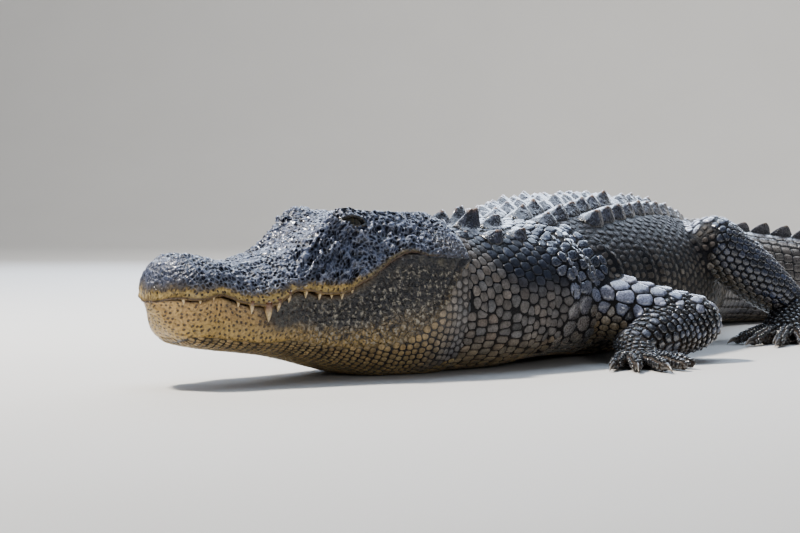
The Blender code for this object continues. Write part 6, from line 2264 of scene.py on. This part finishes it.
def fold_finish():
    fold = Finish("fold_skin", specular_ior_level=0.2)
    wrinkle, grain = fold.cells(260.0, fold.bent(120.0, 0.004), True), fold.noise(500.0, 3.0)
    colour = fold.dim(fold.layer("tint"), fold.span(grain, 0.3, 0.7, 0.6, 1.3))
    return fold.finish(colour, fold.span(grain, 0.3, 0.7, 0.45, 0.75), (wrinkle, 0.0012), (grain, 0.0003))


def tinted_finish(name, low_rough, high_rough, scale, grain, **sockets):
    made = Finish(name, **sockets)
    fleck = made.noise(scale, 3.0)
    colour = made.dim(made.layer("tint"), made.span(fleck, 0.3, 0.7, 0.78, 1.18))
    return made.finish(colour, made.span(fleck, 0.3, 0.7, low_rough, high_rough), (fleck, grain))


FINISHES = {
    "head": head_finish(), "fold": fold_finish(),
    "horn": horn_finish("horn_plates", 0.42, 0.05, shine=0.28),
    "dark_horn": horn_finish("wet_dark_horn", 0.3, 0.4),
    "flank_horn": horn_finish("flank_horn", 0.5, 0.02, shine=0.22),
    "leg_horn": horn_finish("wet_leg_horn", 0.22, 0.85, film=0.09),
    "keeled_horn": horn_finish("keeled_horn", 0.24, 0.65, 0.0012, 0.1, 0.4),
    "belly_horn": horn_finish("belly_horn", 0.42, 0.1),
    "tooth": tinted_finish("tooth_ivory", 0.22, 0.4, 380.0, 0.0002, coat_weight=0.4, coat_roughness=0.12),
    "claw": tinted_finish("claw_horn", 0.24, 0.46, 300.0, 0.0003, coat_weight=0.3, coat_roughness=0.2),
    "eye": tinted_finish("wet_eye", 0.08, 0.18, 800.0, 0.00003, coat_weight=1.0, coat_roughness=0.02),
}
print("finishes:", len(FINISHES))

# %% [markdown]
# Each piece gets its finish and a body to ride on. The two skins stand
# for the solids of flesh, the new eyes and claws for the plain ones.
# %% Tie every piece to the model


def tie(piece, finish, slot_name, *nodes):
    piece.data.materials.append(FINISHES[finish])
    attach(piece, "root")
    if nodes:
        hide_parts(*nodes)


HARD = ("head", "lower_jaw", "eye", "finger_claw", "toe_claw")
FLESH = [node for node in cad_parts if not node.startswith(HARD)]
tie(head_skin, "head", "head_skin", "head", "lower_jaw")
tie(body_skin_piece, "fold", "body_skin", *FLESH)
COAT_FINISH = {
    "neck": ("horn", "neck_skin"), "throat": ("belly_horn", "neck_skin"),
    "belly": ("belly_horn", "body_skin"), "shoulder": ("leg_horn", "body_skin"),
    "flank": ("flank_horn", "body_skin"), "tail": ("dark_horn", "body_skin"),
    "back": ("keeled_horn", "body_skin"), "front": ("leg_horn", "leg_skin"),
    "hind": ("leg_horn", "leg_skin"),
}
for name, piece in COAT.items():
    region = "back" if name == "tail_crests" else name.split("_")[0]
    tie(piece, *COAT_FINISH[region])
for node, piece in EYES.items():
    tie(piece, "eye", "eye", node)
for node, piece in CLAWS.items():
    tie(piece, "claw", "claw", node)
tie(teeth, "tooth", "claw")
tie(beads, "horn", "head_skin")
print("pieces tied:", 4 + len(COAT) + len(EYES) + len(CLAWS))

# %% [markdown]
# Plain studio: a pale floor that runs far back and curves up. A small warm light stands high
# on the far side, so that wet plates glint toward the camera. A wide cool one overhead and a low
# wide one behind the hips put the sheen of an open sky on the back. A weak one stands by the
# camera, and one more is turned to the far wall alone.
# %% Studio
COVE_REACH = 5.0
COVE_RADIUS = 3.0
FLOOR_DROP = 0.0006


def make_floor():
    """A pale floor that curves up into a far wall, so that no edge shows behind the animal."""
    pale = Finish("studio_floor")
    grain = pale.noise(3.0, 3.0)
    colour = pale.blend((0.6, 0.585, 0.56, 1.0), (0.64, 0.625, 0.6, 1.0), grain)
    pale.finish(colour, pale.span(grain, 0.3, 0.7, 0.8, 0.9), (pale.noise(240.0, 2.0), 0.0002))
    bend = np.radians(np.linspace(0, 90, 25))
    run = np.concatenate([[-6.0], COVE_REACH + COVE_RADIUS * np.sin(bend), [COVE_REACH + COVE_RADIUS]])
    rise = np.concatenate([[0.0], COVE_RADIUS * (1 - np.cos(bend)), [COVE_RADIUS + 3.0]])
    view = math.radians(CAMERA_AZIMUTH - 90)
    back = np.array((-math.cos(view), -math.sin(view)))
    aside = np.array((-back[1], back[0]))
    rows = [[(*(back * r + aside * w), z) for w in (-14.0, 14.0)] for r, z in zip(run, rise)]
    verts = np.array(rows).reshape(-1, 3)
    faces = [(2 * k, 2 * k + 1, 2 * k + 3, 2 * k + 2) for k in range(len(run) - 1)]
    floor = build_mesh("floor", verts, face_arrays(faces))
    floor.location.z = -FLOOR_DROP
    floor.data.materials.append(pale.made)
    return floor


def area_light(name, place, target, size, watts, colour):
    data = bpy.data.lights.new(name, "AREA")
    data.shape = "RECTANGLE"
    data.size, data.size_y = size
    data.energy = watts
    data.color = colour
    lamp = bpy.data.objects.new(name, data)
    bpy.context.scene.collection.objects.link(lamp)
    lamp.location = place
    lamp.rotation_euler = (Vector(target) - Vector(place)).to_track_quat("-Z", "Y").to_euler()
    return lamp


def make_world():
    world = bpy.data.worlds.new("studio")
    world.use_nodes = True
    sky = world.node_tree.nodes["Background"]
    sky.inputs["Color"].default_value = (0.8, 0.87, 1.0, 1.0)
    sky.inputs["Strength"].default_value = 0.18
    bpy.context.scene.world = world


make_floor()
make_world()
area_light("key", (0.55, -1.35, 2.45), (0.3, 0.05, 0.1), (0.28, 0.28), 195.0, (1.0, 0.94, 0.85))
area_light("sky", (-0.6, -0.2, 2.9), (0.0, 0.0, 0.1), (2.6, 2.0), 72.0, (0.66, 0.8, 1.0))
area_light("fill", (2.7, 2.0, 0.9), (0.4, 0.0, 0.1), (0.45, 0.45), 8.5, (0.95, 0.97, 1.0))
area_light("back sky", (-2.6, -1.15, 1.6), (0.1, 0.0, 0.15), (3.2, 1.4), 120.0, (0.66, 0.79, 1.0))
area_light("wall", (-2.0, 1.5, 3.2), (-6.6, -2.0, 1.6), (2.5, 2.5), 420.0, (1.0, 0.99, 0.97))
